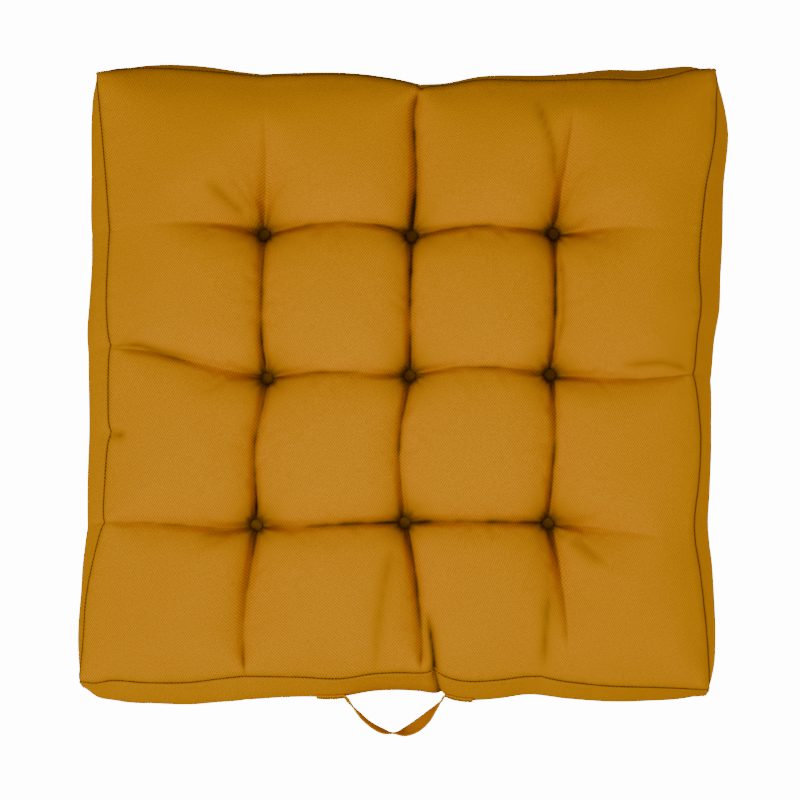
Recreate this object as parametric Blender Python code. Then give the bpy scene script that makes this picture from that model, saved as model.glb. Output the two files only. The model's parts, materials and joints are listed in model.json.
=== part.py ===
"""A square floor cushion: a tufted box cushion of twill canvas with a carrying strap.

Metres, +Z up. The origin is on the floor, under the middle of the box that holds the
cushion and its strap, and the strap is on the front, which faces -Y.

The cover is six shells of canvas: a top and a bottom panel and four border strips. Their
shapes come from three functions, top_point, bottom_point and border_point, and the filling
is the same closed shape set in by a small gap. Nine loops of twine run down through holes
in the filling, each through the wire eyes of a pair of covered buttons. The strap's two
ends are sewn on the front border, and its free loop swings on a hinge line between them.
"""

import math

import bmesh
import bpy
from mathutils import Vector

# Cover, in plan: half the distance between the seam's corners, and how far the middle of
# each side is pulled in.
SEAM_HALF_X = 0.303
SEAM_HALF_Y = 0.298
SIDE_PULL_X = 0.018
SIDE_PULL_Y = 0.012
PULL_POWER = 9

# Cover, in height.
TOP_SEAM_Z = 0.087
BOTTOM_SEAM_Z = 0.012
TOP_CROWN = 0.024
BOTTOM_SAG = 0.020
CROWN_POWER = 8
BORDER_BULGE = 0.0165
BULGE_POWER = 0.4
BORDER_ROWS = 4

# Tufting: three rows of three buttons.
TUFT_PITCH = 0.139
TUFT_MIDDLE = (0.006, 0.008)
TUFT_TOP_DEPTH = 0.049
TUFT_BOTTOM_DEPTH = 0.028
TUFT_REACH = 0.030
TUFT_HOLE_HALF = 0.0024
TUFT_DISH_HALF = 0.0075
TUFT_SLOPE_HALF = 0.028
# Grid lines between the outer tufts' slopes and the seam, as shares of the way out.
OUTER_LINES = (0.45, 0.82)

# Canvas, thread and the gap that touching pieces keep.
CANVAS = 0.0008
SEAM_SLIDE = 0.0011
THREAD_RADIUS = 0.0005
THREAD_STEP = 0.03
FILLING_INSET = 0.0020
GAP = 0.0003

# Covered button: a domed cap over a flat back with a square wire eye.
BUTTON_RADIUS = 0.006
BUTTON_CAP_HEIGHT = 0.004
BUTTON_BACK_RADIUS = 0.0052
BUTTON_BACK_THICK = 0.0008
BUTTON_SIDES = 12
# The cap's rings from its base up: shares of its radius and of its height.
BUTTON_RINGS = ((0.90, 0.0), (1.0, 0.25), (0.86, 0.68), (0.45, 0.96))
EYE_WIRE = 0.0006
EYE_OPENING = 0.0018
TWINE_RADIUS = 0.00045
TWINE_BEND = 0.0012
TWINE_BEND_STEPS = 4

# Carrying strap, along the front border's widest line.
STRAP_WIDTH = 0.022
STRAP_THICK = 0.002
STRAP_MIDDLE_X = -0.006
STRAP_LOOP_HALF = 0.046
STRAP_LOOP_REACH = 0.0345
STRAP_TAB = 0.028
STRAP_TAB_GAP = 0.0020
STRAP_START = 0.0015
STRAP_HINGE_OUT = 0.0125
STRAP_DROOP = math.radians(20.0)
STRAP_STEPS = 24
# The loop's rounded ends: their share of its half length, their steps, and how far into the
# first step the loop starts.
STRAP_END_SHARE = 0.18
STRAP_END_STEPS = 4
STRAP_END_START = 0.15
TAB_STEPS_ALONG = 3
TAB_STEPS_UP = 4
STITCH_MARGIN = 0.004

# The handle reaches past the front border, so the cushion stands this far behind the origin.
CUSHION_Y = 0.0179

# A short step to measure slopes over, the distance that welds points, and the angles in
# degrees above which the edges of the cover, the strap and the metal backs look sharp.
SLOPE_STEP = 1e-3
WELD = 1e-5
COVER_EDGE = 60.0
STRAP_EDGE = 40.0
METAL_EDGE = 30.0

# Plain colours of the finishes.
OCHRE = (0.53, 0.23, 0.008)
BROWN = (0.16, 0.07, 0.01)
FIBRE_WHITE = (0.85, 0.84, 0.80)
STEEL_GREY = (0.60, 0.60, 0.62)


# ---------------------------------------------------------------- the cover's shape


def edge_fade(across, along):
    """Return 1 over most of a panel and 0 at its seam, falling steeply close to the seam."""
    u = min(1.0, abs(across) / SEAM_HALF_X)
    v = min(1.0, abs(along) / SEAM_HALF_Y)
    return math.sqrt((1.0 - u**CROWN_POWER) * (1.0 - v**CROWN_POWER))


def tuft_places():
    """Yield the row, the column and the plan position of each tuft, from the cushion's middle."""
    for row in range(3):
        for column in range(3):
            across = TUFT_MIDDLE[0] + (column - 1) * TUFT_PITCH
            along = TUFT_MIDDLE[1] + (1 - row) * TUFT_PITCH
            yield row + 1, column + 1, across, along


def tuft_pull(across, along):
    """Return how much of a tuft's full depth a point takes: 1 at a button, falling outwards."""
    nearest = min(math.hypot(across - x, along - y) for _, _, x, y in tuft_places())
    dish = TUFT_DISH_HALF * math.sqrt(2.0)
    return math.exp(-max(0.0, nearest - dish) / TUFT_REACH)


def plan(across, along):
    """Return a panel point's place in plan, with the middle of each side pulled in."""
    u = across / SEAM_HALF_X
    v = along / SEAM_HALF_Y
    x = across - SIDE_PULL_X * u**PULL_POWER * (1.0 - v * v)
    y = along - SIDE_PULL_Y * v**PULL_POWER * (1.0 - u * u)
    return x, y + CUSHION_Y


def top_point(across, along):
    """Return the top panel's outer surface."""
    rise = TOP_CROWN - TUFT_TOP_DEPTH * tuft_pull(across, along)
    return Vector((*plan(across, along), TOP_SEAM_Z + rise * edge_fade(across, along)))


def bottom_point(across, along):
    """Return the bottom panel's outer surface, which the floor flattens."""
    drop = BOTTOM_SAG - TUFT_BOTTOM_DEPTH * tuft_pull(across, along)
    z = BOTTOM_SEAM_Z - drop * edge_fade(across, along)
    return Vector((*plan(across, along), max(0.0, z)))


def border_point(side, t, height):
    """Return a border's outer surface at t from -1 to 1 along it, and height from 0 to 1."""
    across, along, outward = {
        "front": (t * SEAM_HALF_X, -SEAM_HALF_Y, (0.0, -1.0)),
        "right": (SEAM_HALF_X, t * SEAM_HALF_Y, (1.0, 0.0)),
        "back": (-t * SEAM_HALF_X, SEAM_HALF_Y, (0.0, 1.0)),
        "left": (-SEAM_HALF_X, -t * SEAM_HALF_Y, (-1.0, 0.0)),
    }[side]
    x, y = plan(across, along)
    bulge = BORDER_BULGE * max(0.0, 1.0 - t * t) ** BULGE_POWER * math.sin(math.pi * height)
    z = BOTTOM_SEAM_Z + (TOP_SEAM_Z - BOTTOM_SEAM_Z) * height
    return Vector((x + outward[0] * bulge, y + outward[1] * bulge, z))


def panel_lines(middle, half):
    """Return the grid lines across a panel: close together at the tufts, one at each edge."""
    tufts = [middle + step * TUFT_PITCH for step in (-1, 0, 1)]
    lines = [-half, half]
    for place in tufts:
        for offset in (TUFT_HOLE_HALF, TUFT_DISH_HALF, TUFT_SLOPE_HALF):
            lines += [place - offset, place + offset]
    lines += [middle - TUFT_PITCH / 2, middle + TUFT_PITCH / 2]
    for sign, place in ((-1, tufts[0]), (1, tufts[-1])):
        start = place + sign * TUFT_SLOPE_HALF
        lines += [start + (sign * half - start) * share for share in OUTER_LINES]
    return sorted(lines)


LINES_X = panel_lines(TUFT_MIDDLE[0], SEAM_HALF_X)
LINES_Y = panel_lines(TUFT_MIDDLE[1], SEAM_HALF_Y)
SIDES = ("front", "right", "back", "left")


def top_grid():
    """Return the top panel as columns of points, ordered so its faces look up."""
    return [[top_point(x, y) for y in LINES_Y] for x in LINES_X]


def bottom_grid():
    """Return the bottom panel as rows of points, ordered so its faces look down."""
    return [[bottom_point(x, y) for x in LINES_X] for y in LINES_Y]


def border_grid(side):
    """Return a border as columns of points, bottom seam first, ordered to look outwards."""
    lines, half = (LINES_X, SEAM_HALF_X) if side in ("front", "back") else (LINES_Y, SEAM_HALF_Y)
    places = [line / half for line in lines]
    if side in ("back", "left"):
        places = [-place for place in reversed(places)]
    heights = [row / BORDER_ROWS for row in range(BORDER_ROWS + 1)]
    return [[border_point(side, t, height) for height in heights] for t in places]


def is_tuft_hole(corners):
    """Say whether a grid cell is the small square that the twine passes through."""
    x = sum(c.x for c in corners) / 4
    y = sum(c.y for c in corners) / 4 - CUSHION_Y
    return any(
        abs(x - place_x) < TUFT_HOLE_HALF and abs(y - place_y) < TUFT_HOLE_HALF
        for _, _, place_x, place_y in tuft_places()
    )


def cells(grid):
    """Yield the four index pairs of each cell of a grid, in face order."""
    for i in range(len(grid) - 1):
        for j in range(len(grid[0]) - 1):
            yield (i, j), (i + 1, j), (i + 1, j + 1), (i, j + 1)


# ---------------------------------------------------------------- making objects


def material(name, colour, roughness, metallic=0.0):
    """Return a Principled material."""
    made = bpy.data.materials.new(name)
    made.use_nodes = True
    shader = made.node_tree.nodes["Principled BSDF"]
    shader.inputs["Base Color"].default_value = (*colour, 1.0)
    shader.inputs["Roughness"].default_value = roughness
    shader.inputs["Metallic"].default_value = metallic
    return made


def place(name, data, finish, location=(0.0, 0.0, 0.0)):
    """Put mesh or curve data in the scene as one named object."""
    made = bpy.data.objects.new(name, data)
    made.location = location
    bpy.context.scene.collection.objects.link(made)
    if not data.materials:
        data.materials.append(finish)
    return made


def mesh_from(name, build, closed=True):
    """Make a mesh of what build adds to an empty bmesh. A closed one gets its faces facing out."""
    work = bmesh.new()
    build(work)
    if closed:
        bmesh.ops.recalc_face_normals(work, faces=work.faces)
    data = bpy.data.meshes.new(name)
    work.to_mesh(data)
    work.free()
    return data


def smooth(data, angle):
    """Shade a mesh smooth, apart from the edges sharper than angle degrees."""
    data.shade_smooth()
    data.set_sharp_from_angle(angle=math.radians(angle))


def slide_edges(grid):
    """Return the grid with its outermost points drawn in along the surface, off the seam."""
    moved = [[point.copy() for point in column] for column in grid]
    last_i, last_j = len(grid) - 1, len(grid[0]) - 1
    for j in range(last_j + 1):
        for edge, inner in ((0, 1), (last_i, last_i - 1)):
            moved[edge][j] += SEAM_SLIDE * (grid[inner][j] - grid[edge][j]).normalized()
    for i in range(last_i + 1):
        for edge, inner in ((0, 1), (last_j, last_j - 1)):
            moved[i][edge] += SEAM_SLIDE * (grid[i][inner] - grid[i][edge]).normalized()
    return moved


def cover_piece(name, grid, finish):
    """Make one piece of the cover: its outer surface, thickened inwards to the canvas."""
    grid = slide_edges(grid)

    def build(work):
        verts = [[work.verts.new(point) for point in column] for column in grid]
        for corners in cells(grid):
            if not is_tuft_hole([grid[i][j] for i, j in corners]):
                work.faces.new([verts[i][j] for i, j in corners])

    data = mesh_from(name, build, closed=False)
    smooth(data, COVER_EDGE)
    piece = place(name, data, finish)
    canvas = piece.modifiers.new("Canvas", "SOLIDIFY")
    canvas.thickness = CANVAS
    canvas.offset = -1.0
    return piece


def vertex_normals(grids):
    """Return each grid point's normal on the closed shape that the grids make together."""
    sums = {}

    def key(point):
        return tuple(round(value, 6) for value in point)

    for grid in grids:
        for corners in cells(grid):
            a, b, c, d = (grid[i][j] for i, j in corners)
            normal = (c - a).cross(d - b)
            for point in (a, b, c, d):
                sums[key(point)] = sums.get(key(point), Vector()) + normal
    return [[[sums[key(p)].normalized() for p in column] for column in grid] for grid in grids]


def filling_mesh():
    """Make the filling: the cover's closed shape set in, with a square hole at each tuft."""
    grids = [top_grid(), bottom_grid()] + [border_grid(side) for side in SIDES]
    normals = vertex_normals(grids)

    def build(work):
        holes = {}
        for grid, grid_normals in zip(grids, normals):
            verts = [
                [work.verts.new(p - FILLING_INSET * n) for p, n in zip(column, column_normals)]
                for column, column_normals in zip(grid, grid_normals)
            ]
            for corners in cells(grid):
                ring = [verts[i][j] for i, j in corners]
                points = [grid[i][j] for i, j in corners]
                if is_tuft_hole(points):
                    middle = sum(points, Vector()) / 4
                    place_key = (round(middle.x, 3), round(middle.y, 3))
                    holes.setdefault(place_key, []).append(ring)
                else:
                    work.faces.new(ring)
        for upper, lower in holes.values():
            for k in range(4):
                a, b = upper[k], upper[(k + 1) % 4]
                nearest = [min(lower, key=lambda v: (v.co.xy - p.co.xy).length) for p in (a, b)]
                work.faces.new((a, b, nearest[1], nearest[0]))
        bmesh.ops.remove_doubles(work, verts=work.verts, dist=WELD)

    data = mesh_from("filling", build)
    smooth(data, COVER_EDGE)
    return data


# ---------------------------------------------------------------- buttons and twine


def button_cap_mesh():
    """Make a covered cap: a low dome with a rounded rim, its flat base at z = 0."""

    def build(work):
        rings = []
        for radius, height in BUTTON_RINGS:
            ring = []
            for k in range(BUTTON_SIDES):
                angle = 2 * math.pi * k / BUTTON_SIDES
                x = radius * BUTTON_RADIUS * math.cos(angle)
                y = radius * BUTTON_RADIUS * math.sin(angle)
                ring.append(work.verts.new((x, y, height * BUTTON_CAP_HEIGHT)))
            rings.append(ring)
        for low, high in zip(rings, rings[1:]):
            for k in range(BUTTON_SIDES):
                nxt = (k + 1) % BUTTON_SIDES
                work.faces.new((low[k], low[nxt], high[nxt], high[k]))
        work.faces.new(rings[0])
        tip = work.verts.new((0.0, 0.0, BUTTON_CAP_HEIGHT))
        for k in range(BUTTON_SIDES):
            work.faces.new((rings[-1][k], rings[-1][(k + 1) % BUTTON_SIDES], tip))

    data = mesh_from("button_cap", build)
    smooth(data, COVER_EDGE)
    return data


def button_back_mesh():
    """Make a flat round back, its upper face at z = 0, with a square wire eye under it."""

    def build_disc(work):
        bmesh.ops.create_cone(
            work,
            cap_ends=True,
            segments=BUTTON_SIDES,
            radius1=BUTTON_BACK_RADIUS,
            radius2=BUTTON_BACK_RADIUS,
            depth=BUTTON_BACK_THICK,
        )
        bmesh.ops.translate(work, verts=work.verts, vec=(0.0, 0.0, -BUTTON_BACK_THICK / 2))

    def build_eye(work):
        inner = EYE_OPENING / 2
        outer = inner + EYE_WIRE
        top = -BUTTON_BACK_THICK / 2
        under = -BUTTON_BACK_THICK - EYE_OPENING
        outline = (
            (-outer, top),
            (-outer, under - EYE_WIRE),
            (outer, under - EYE_WIRE),
            (outer, top),
            (inner, top),
            (inner, under),
            (-inner, under),
            (-inner, top),
        )
        front = [work.verts.new((x, -EYE_WIRE / 2, z)) for x, z in outline]
        back = [work.verts.new((x, EYE_WIRE / 2, z)) for x, z in outline]
        for k in range(len(outline)):
            nxt = (k + 1) % len(outline)
            work.faces.new((front[k], front[nxt], back[nxt], back[k]))
        for ring in (front, back):
            work.faces.new((ring[0], ring[1], ring[6], ring[7]))
            work.faces.new((ring[1], ring[2], ring[5], ring[6]))
            work.faces.new((ring[2], ring[3], ring[4], ring[5]))

    disc = bpy.data.objects.new("disc", mesh_from("disc", build_disc))
    eye = bpy.data.objects.new("eye", mesh_from("eye", build_eye))
    for made in (disc, eye):
        bpy.context.scene.collection.objects.link(made)
    union = disc.modifiers.new("Eye", "BOOLEAN")
    union.operation = "UNION"
    union.solver = "EXACT"
    union.object = eye
    bpy.context.view_layer.update()
    whole = disc.evaluated_get(bpy.context.evaluated_depsgraph_get())
    data = bpy.data.meshes.new_from_object(whole)
    data.name = "button_back"
    for made in (disc, eye):
        bpy.data.objects.remove(made)
    smooth(data, METAL_EDGE)
    return data


def eye_bar_drop():
    """Return how far the middle of the wire eye's bar lies past the canvas, into the cushion."""
    return EYE_OPENING + EYE_WIRE / 2 - GAP


def twine_curve(top_z, bottom_z):
    """Make one loop of twine that runs round the bars of an upper and a lower wire eye."""
    upper = top_z - eye_bar_drop()
    lower = bottom_z + eye_bar_drop()
    points = []
    for middle, start in ((upper, 0.0), (lower, math.pi)):
        for step in range(TWINE_BEND_STEPS + 1):
            angle = start + math.pi * step / TWINE_BEND_STEPS
            y = TWINE_BEND * math.cos(angle)
            points.append((0.0, y, middle + TWINE_BEND * math.sin(angle)))
    return closed_tube("twine", points, TWINE_RADIUS)


def closed_tube(name, points, radius):
    """Make curve data for a thin closed ring of thread through the points."""
    data = bpy.data.curves.new(name, "CURVE")
    data.dimensions = "3D"
    data.bevel_depth = radius
    data.bevel_resolution = 0
    data.use_fill_caps = True
    spline = data.splines.new("POLY")
    spline.points.add(len(points) - 1)
    for point, co in zip(spline.points, points):
        point.co = (*co, 1.0)
    spline.use_cyclic_u = True
    return data


def make_buttons(canvas, steel, twine_finish):
    """Place a pair of covered buttons and their loop of twine at each tuft."""
    cap = button_cap_mesh()
    back = button_back_mesh()
    top_z = TOP_SEAM_Z + TOP_CROWN - TUFT_TOP_DEPTH
    bottom_z = BOTTOM_SEAM_Z - BOTTOM_SAG + TUFT_BOTTOM_DEPTH
    twine = twine_curve(top_z, bottom_z)
    back_lift = GAP + BUTTON_BACK_THICK
    cap_lift = back_lift + GAP
    for row, column, across, along in tuft_places():
        x, y = across, along + CUSHION_Y
        code = f"row{row}_col{column}"
        place(f"top_button_cap_{code}", cap, canvas, (x, y, top_z + cap_lift))
        place(f"top_button_back_{code}", back, steel, (x, y, top_z + back_lift))
        under_cap = place(f"under_button_cap_{code}", cap, canvas, (x, y, bottom_z - cap_lift))
        under_back = place(f"under_button_back_{code}", back, steel, (x, y, bottom_z - back_lift))
        for made in (under_cap, under_back):
            made.rotation_euler = (math.pi, 0.0, 0.0)
        place(f"tufting_twine_{code}", twine, twine_finish, (x, y, 0.0))


# ---------------------------------------------------------------- seams


def seam_thread(name, grid, finish):
    """Lay the stitching of a seam: one ring of thread along a panel's four edges."""
    last_i, last_j = len(grid) - 1, len(grid[0]) - 1
    ring = [grid[i][0] for i in range(0, last_i)]
    ring += [grid[last_i][j] for j in range(0, last_j)]
    ring += [grid[i][last_j] for i in range(last_i, 0, -1)]
    ring += [grid[0][j] for j in range(last_j, 0, -1)]
    kept = [ring[0]]
    corners = (grid[0][0], grid[last_i][0], grid[last_i][last_j], grid[0][last_j])
    for point in ring[1:]:
        if point in corners or (point - kept[-1]).length > THREAD_STEP:
            kept.append(point)
    return place(name, closed_tube(name, kept, THREAD_RADIUS), finish)


# ---------------------------------------------------------------- strap


def front_face(x, z):
    """Return the front border's outer surface and its normal at a place x, z."""
    height = (z - BOTTOM_SEAM_Z) / (TOP_SEAM_Z - BOTTOM_SEAM_Z)
    t = x / SEAM_HALF_X
    point = border_point("front", t, height)
    along = border_point("front", t + SLOPE_STEP, height) - border_point("front", t - SLOPE_STEP, height)
    up = border_point("front", t, height + SLOPE_STEP) - border_point("front", t, height - SLOPE_STEP)
    return point, along.cross(up).normalized()


def strap_height():
    """Return the height of the strap's middle line, where the front border is widest."""
    return (TOP_SEAM_Z + BOTTOM_SEAM_Z) / 2


def tab_grid(sign, lift):
    """Return the points of a strap end's face, a given lift off the front border."""
    start = STRAP_MIDDLE_X + sign * (STRAP_LOOP_HALF + STRAP_TAB_GAP)
    columns = []
    for i in range(TAB_STEPS_ALONG + 1):
        x = start + sign * STRAP_TAB * i / TAB_STEPS_ALONG
        column = []
        for j in range(TAB_STEPS_UP + 1):
            z = strap_height() + STRAP_WIDTH * (j / TAB_STEPS_UP - 0.5)
            point, normal = front_face(x, z)
            column.append(point + normal * lift)
        columns.append(column)
    return columns


def strap_tab(name, sign, finish):
    """Make one sewn end of the strap, a plate that follows the front border."""
    near = tab_grid(sign, GAP)
    far = tab_grid(sign, GAP + STRAP_THICK)

    def build(work):
        sheets = [[[work.verts.new(p) for p in column] for column in grid] for grid in (near, far)]
        for verts in sheets:
            for corners in cells(near):
                work.faces.new([verts[i][j] for i, j in corners])
        last_i, last_j = TAB_STEPS_ALONG, TAB_STEPS_UP
        rim = [(i, 0) for i in range(last_i)] + [(last_i, j) for j in range(last_j)]
        rim += [(i, last_j) for i in range(last_i, 0, -1)] + [(0, j) for j in range(last_j, 0, -1)]
        for (i, j), (k, m) in zip(rim, rim[1:] + rim[:1]):
            work.faces.new((sheets[0][i][j], sheets[0][k][m], sheets[1][k][m], sheets[1][i][j]))

    data = mesh_from(name, build)
    smooth(data, STRAP_EDGE)
    return place(name, data, finish)


def tab_stitching(name, sign, finish):
    """Lay the square of stitching that holds a strap end, on the strap's outer face."""
    lift = 2 * GAP + STRAP_THICK + THREAD_RADIUS
    near = STRAP_MIDDLE_X + sign * (STRAP_LOOP_HALF + STRAP_TAB_GAP + STITCH_MARGIN)
    far = STRAP_MIDDLE_X + sign * (STRAP_LOOP_HALF + STRAP_TAB - STITCH_MARGIN)
    low = strap_height() - STRAP_WIDTH / 2 + STITCH_MARGIN
    high = strap_height() + STRAP_WIDTH / 2 - STITCH_MARGIN
    corners = ((near, low), (far, low), (far, high), (near, high))
    points = []
    for (x0, z0), (x1, z1) in zip(corners, corners[1:] + corners[:1]):
        for share in (0.0, 1 / 3, 2 / 3):
            point, normal = front_face(x0 + (x1 - x0) * share, z0 + (z1 - z0) * share)
            points.append(point + normal * lift)
    return place(name, closed_tube(name, points, THREAD_RADIUS), finish)


def strap_hinge():
    """Return the point on the loop's hinge line that lies midway between the sewn ends."""
    face, _ = front_face(STRAP_MIDDLE_X, strap_height())
    return face + Vector((0.0, -STRAP_HINGE_OUT, 0.0))


def strap_loop(finish):
    """Make the strap's free loop about its hinge line, level, then let it droop."""
    depth = STRAP_LOOP_REACH - STRAP_START

    def centre(share):
        x = STRAP_LOOP_HALF * share
        return Vector((x, STRAP_HINGE_OUT - STRAP_START - depth * (1.0 - share * share), 0.0))

    def half_width(run):
        """Round the loop's ends about the hinge line, so that they swing clear."""
        short = max(0.0, STRAP_WIDTH / 2 - run)
        return math.sqrt((STRAP_WIDTH / 2) ** 2 - short**2)

    ends = [
        -1.0 + STRAP_END_SHARE * (STRAP_END_START + k) / STRAP_END_STEPS
        for k in range(STRAP_END_STEPS)
    ]
    inner = STRAP_STEPS - 2 * STRAP_END_STEPS
    middle = [(-1.0 + STRAP_END_SHARE) * (1 - 2 * k / inner) for k in range(inner + 1)]
    shares = ends + middle + [-share for share in reversed(ends)]

    def build(work):
        rings = []
        for share in shares:
            here = centre(share)
            ahead = (centre(share + SLOPE_STEP) - centre(share - SLOPE_STEP)).normalized()
            side = Vector((-ahead.y, ahead.x, 0.0)) * STRAP_THICK / 2
            run = min((here - centre(end)).length for end in (-1.0, 1.0))
            lift = Vector((0.0, 0.0, half_width(run)))
            corners = (here + side + lift, here - side + lift, here - side - lift, here + side - lift)
            rings.append([work.verts.new(corner) for corner in corners])
        for first, second in zip(rings, rings[1:]):
            for k in range(4):
                nxt = (k + 1) % 4
                work.faces.new((first[k], first[nxt], second[nxt], second[k]))
        work.faces.new(rings[0])
        work.faces.new(rings[-1])

    data = mesh_from("handle_loop", build)
    smooth(data, STRAP_EDGE)
    hinge = bpy.data.objects.new("handle_hinge", None)
    hinge.location = strap_hinge()
    hinge.rotation_euler = (STRAP_DROOP, 0.0, 0.0)
    bpy.context.scene.collection.objects.link(hinge)
    loop = place("handle_loop", data, finish)
    loop.parent = hinge
    return loop


# ---------------------------------------------------------------- the cushion


def main():
    """Clear the scene and build the cushion."""
    for old in list(bpy.data.objects):
        bpy.data.objects.remove(old)

    canvas = material("ochre_canvas", OCHRE, 0.9)
    thread = material("brown_thread", BROWN, 0.8)
    fibre = material("polyester_fibre", FIBRE_WHITE, 1.0)
    steel = material("plated_steel", STEEL_GREY, 0.35, 1.0)

    cover_piece("top_panel", top_grid(), canvas)
    cover_piece("bottom_panel", bottom_grid(), canvas)
    for side in SIDES:
        cover_piece(f"border_{side}", border_grid(side), canvas)
    place("filling", filling_mesh(), fibre)
    seam_thread("top_seam_thread", top_grid(), thread)
    seam_thread("bottom_seam_thread", bottom_grid(), thread)
    make_buttons(canvas, steel, thread)
    for side, sign in (("left", -1), ("right", 1)):
        strap_tab(f"handle_tab_{side}", sign, canvas)
        tab_stitching(f"handle_stitching_{side}", sign, thread)
    strap_loop(canvas)
    bpy.context.view_layer.update()


main()
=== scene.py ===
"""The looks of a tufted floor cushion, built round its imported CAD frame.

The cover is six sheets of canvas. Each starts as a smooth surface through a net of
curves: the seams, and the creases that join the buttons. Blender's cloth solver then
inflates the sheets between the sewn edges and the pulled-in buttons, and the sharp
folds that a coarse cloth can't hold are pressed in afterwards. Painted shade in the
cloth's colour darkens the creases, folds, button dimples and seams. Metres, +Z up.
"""

import json
import math

import bmesh
import bpy
import numpy as np
from mathutils import Matrix, Vector
from mathutils.bvhtree import BVHTree


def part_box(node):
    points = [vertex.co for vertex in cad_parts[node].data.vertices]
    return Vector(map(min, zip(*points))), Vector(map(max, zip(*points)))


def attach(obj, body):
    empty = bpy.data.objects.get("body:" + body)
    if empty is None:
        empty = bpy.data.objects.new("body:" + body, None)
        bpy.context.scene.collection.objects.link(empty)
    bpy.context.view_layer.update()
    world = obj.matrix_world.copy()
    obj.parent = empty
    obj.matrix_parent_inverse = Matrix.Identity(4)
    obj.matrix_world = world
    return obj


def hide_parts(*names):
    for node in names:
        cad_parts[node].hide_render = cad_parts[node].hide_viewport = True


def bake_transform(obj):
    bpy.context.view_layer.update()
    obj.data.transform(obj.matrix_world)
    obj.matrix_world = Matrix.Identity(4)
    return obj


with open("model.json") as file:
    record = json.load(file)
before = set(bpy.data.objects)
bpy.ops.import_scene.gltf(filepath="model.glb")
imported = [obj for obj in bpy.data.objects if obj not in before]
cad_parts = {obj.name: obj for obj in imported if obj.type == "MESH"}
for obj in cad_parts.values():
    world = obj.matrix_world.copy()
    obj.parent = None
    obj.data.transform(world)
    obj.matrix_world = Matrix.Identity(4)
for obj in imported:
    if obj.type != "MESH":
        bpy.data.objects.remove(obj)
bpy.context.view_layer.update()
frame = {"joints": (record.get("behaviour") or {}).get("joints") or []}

MM = 0.001


def middle(node):
    """Return the middle of a CAD node's box."""
    low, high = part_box(node)
    return (low + high) / 2


# ---------------------------------------------------------------- places from the frame

CENTRE = middle("filling")
TOP_SEAM_Z = middle("top_seam_thread").z
BOTTOM_SEAM_Z = middle("bottom_seam_thread").z
BACK_THICK = 1.4 * MM
TOP_DISH_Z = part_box("top_button_cap_row2_col2")[0].z - BACK_THICK
UNDER_DISH_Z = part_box("under_button_cap_row2_col2")[1].z + BACK_THICK
SIDES = ("front", "right", "back", "left")

# ---------------------------------------------------------------- the net of curves

# How far each button has settled from its even place, in mm, back row first.
TUFT_DRIFT = (
    ((1.2, -3.2), (4.2, -4.5), (1.9, -2.7)),
    ((4.2, -3.2), (2.6, -0.4), (-1.5, 0.2)),
    ((-5.8, -5.4), (-2.2, -3.0), (-3.5, -3.7)),
)
# Where the seam's corners and the creases' ends lie, in mm from the cushion's middle.
FRONT_KNOTS = ((-307.5, -287), (-149.5, -282), (18.5, -279.5), (159.5, -287.5), (294.5, -295))
BACK_KNOTS = ((-293.5, 299), (-134, 295), (18, 286), (165, 291.5), (303, 302.5))
LEFT_KNOTS = ((-286, -135.5), (-280.5, 31.5), (-280, 147))
RIGHT_KNOTS = ((281.5, -155), (281.5, 6.5), (288, 143.5))

# How each stretch of a curve bows off the straight line between its ends: pairs of a share
# along it and a distance in mm, to the right for columns and to the back for rows. Columns
# run front to back, rows left to right, and the first and last of each are the seams.
COLUMN_BOWS = (
    (
        ((0.27, -2), (0.52, -5), (0.87, -2)),
        ((0.3, 1.3), (0.52, 2), (0.84, 0.5)),
        ((0.43, -2.7), (0.75, -1.5)),
        ((0.4, 0.5),),
    ),
    (
        ((0.37, -5.2), (0.57, -4.2), (0.76, -1.8)),
        ((0.16, -1.6), (0.37, -5.1), (0.57, -6.6), (0.78, -2.5)),
        ((0.26, -4), (0.61, -3)),
        ((0.54, 2.4),),
    ),
    (
        ((0.16, 4), (0.42, 5.4), (0.65, 4.6)),
        ((0.17, -3.8), (0.39, -7), (0.66, -6.6), (0.83, -3)),
        ((0.5, -0.5),),
        ((0.44, 0.6), (0.58, -1.2), (0.85, -3.6)),
    ),
    (
        ((0.42, 5), (0.7, 4.5), (0.86, 2)),
        ((0.18, 1.6), (0.42, 4.2), (0.62, 5), (0.82, 3.6)),
        ((0.31, 3.4), (0.74, 2.2)),
        ((0.32, 2.2), (0.72, 3.6)),
    ),
    (
        ((0.2, 1.8), (0.6, 2.5), (0.9, 1.2)),
        ((0.1, -1), (0.36, 3.5), (0.63, 5.5), (0.87, 2.5)),
        ((0.27, 0.8), (0.48, 3.3), (0.76, -0.4)),
        ((0.29, 0.9), (0.48, 4), (0.6, 5), (0.78, 3.5), (0.9, 2.4)),
    ),
)
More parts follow.
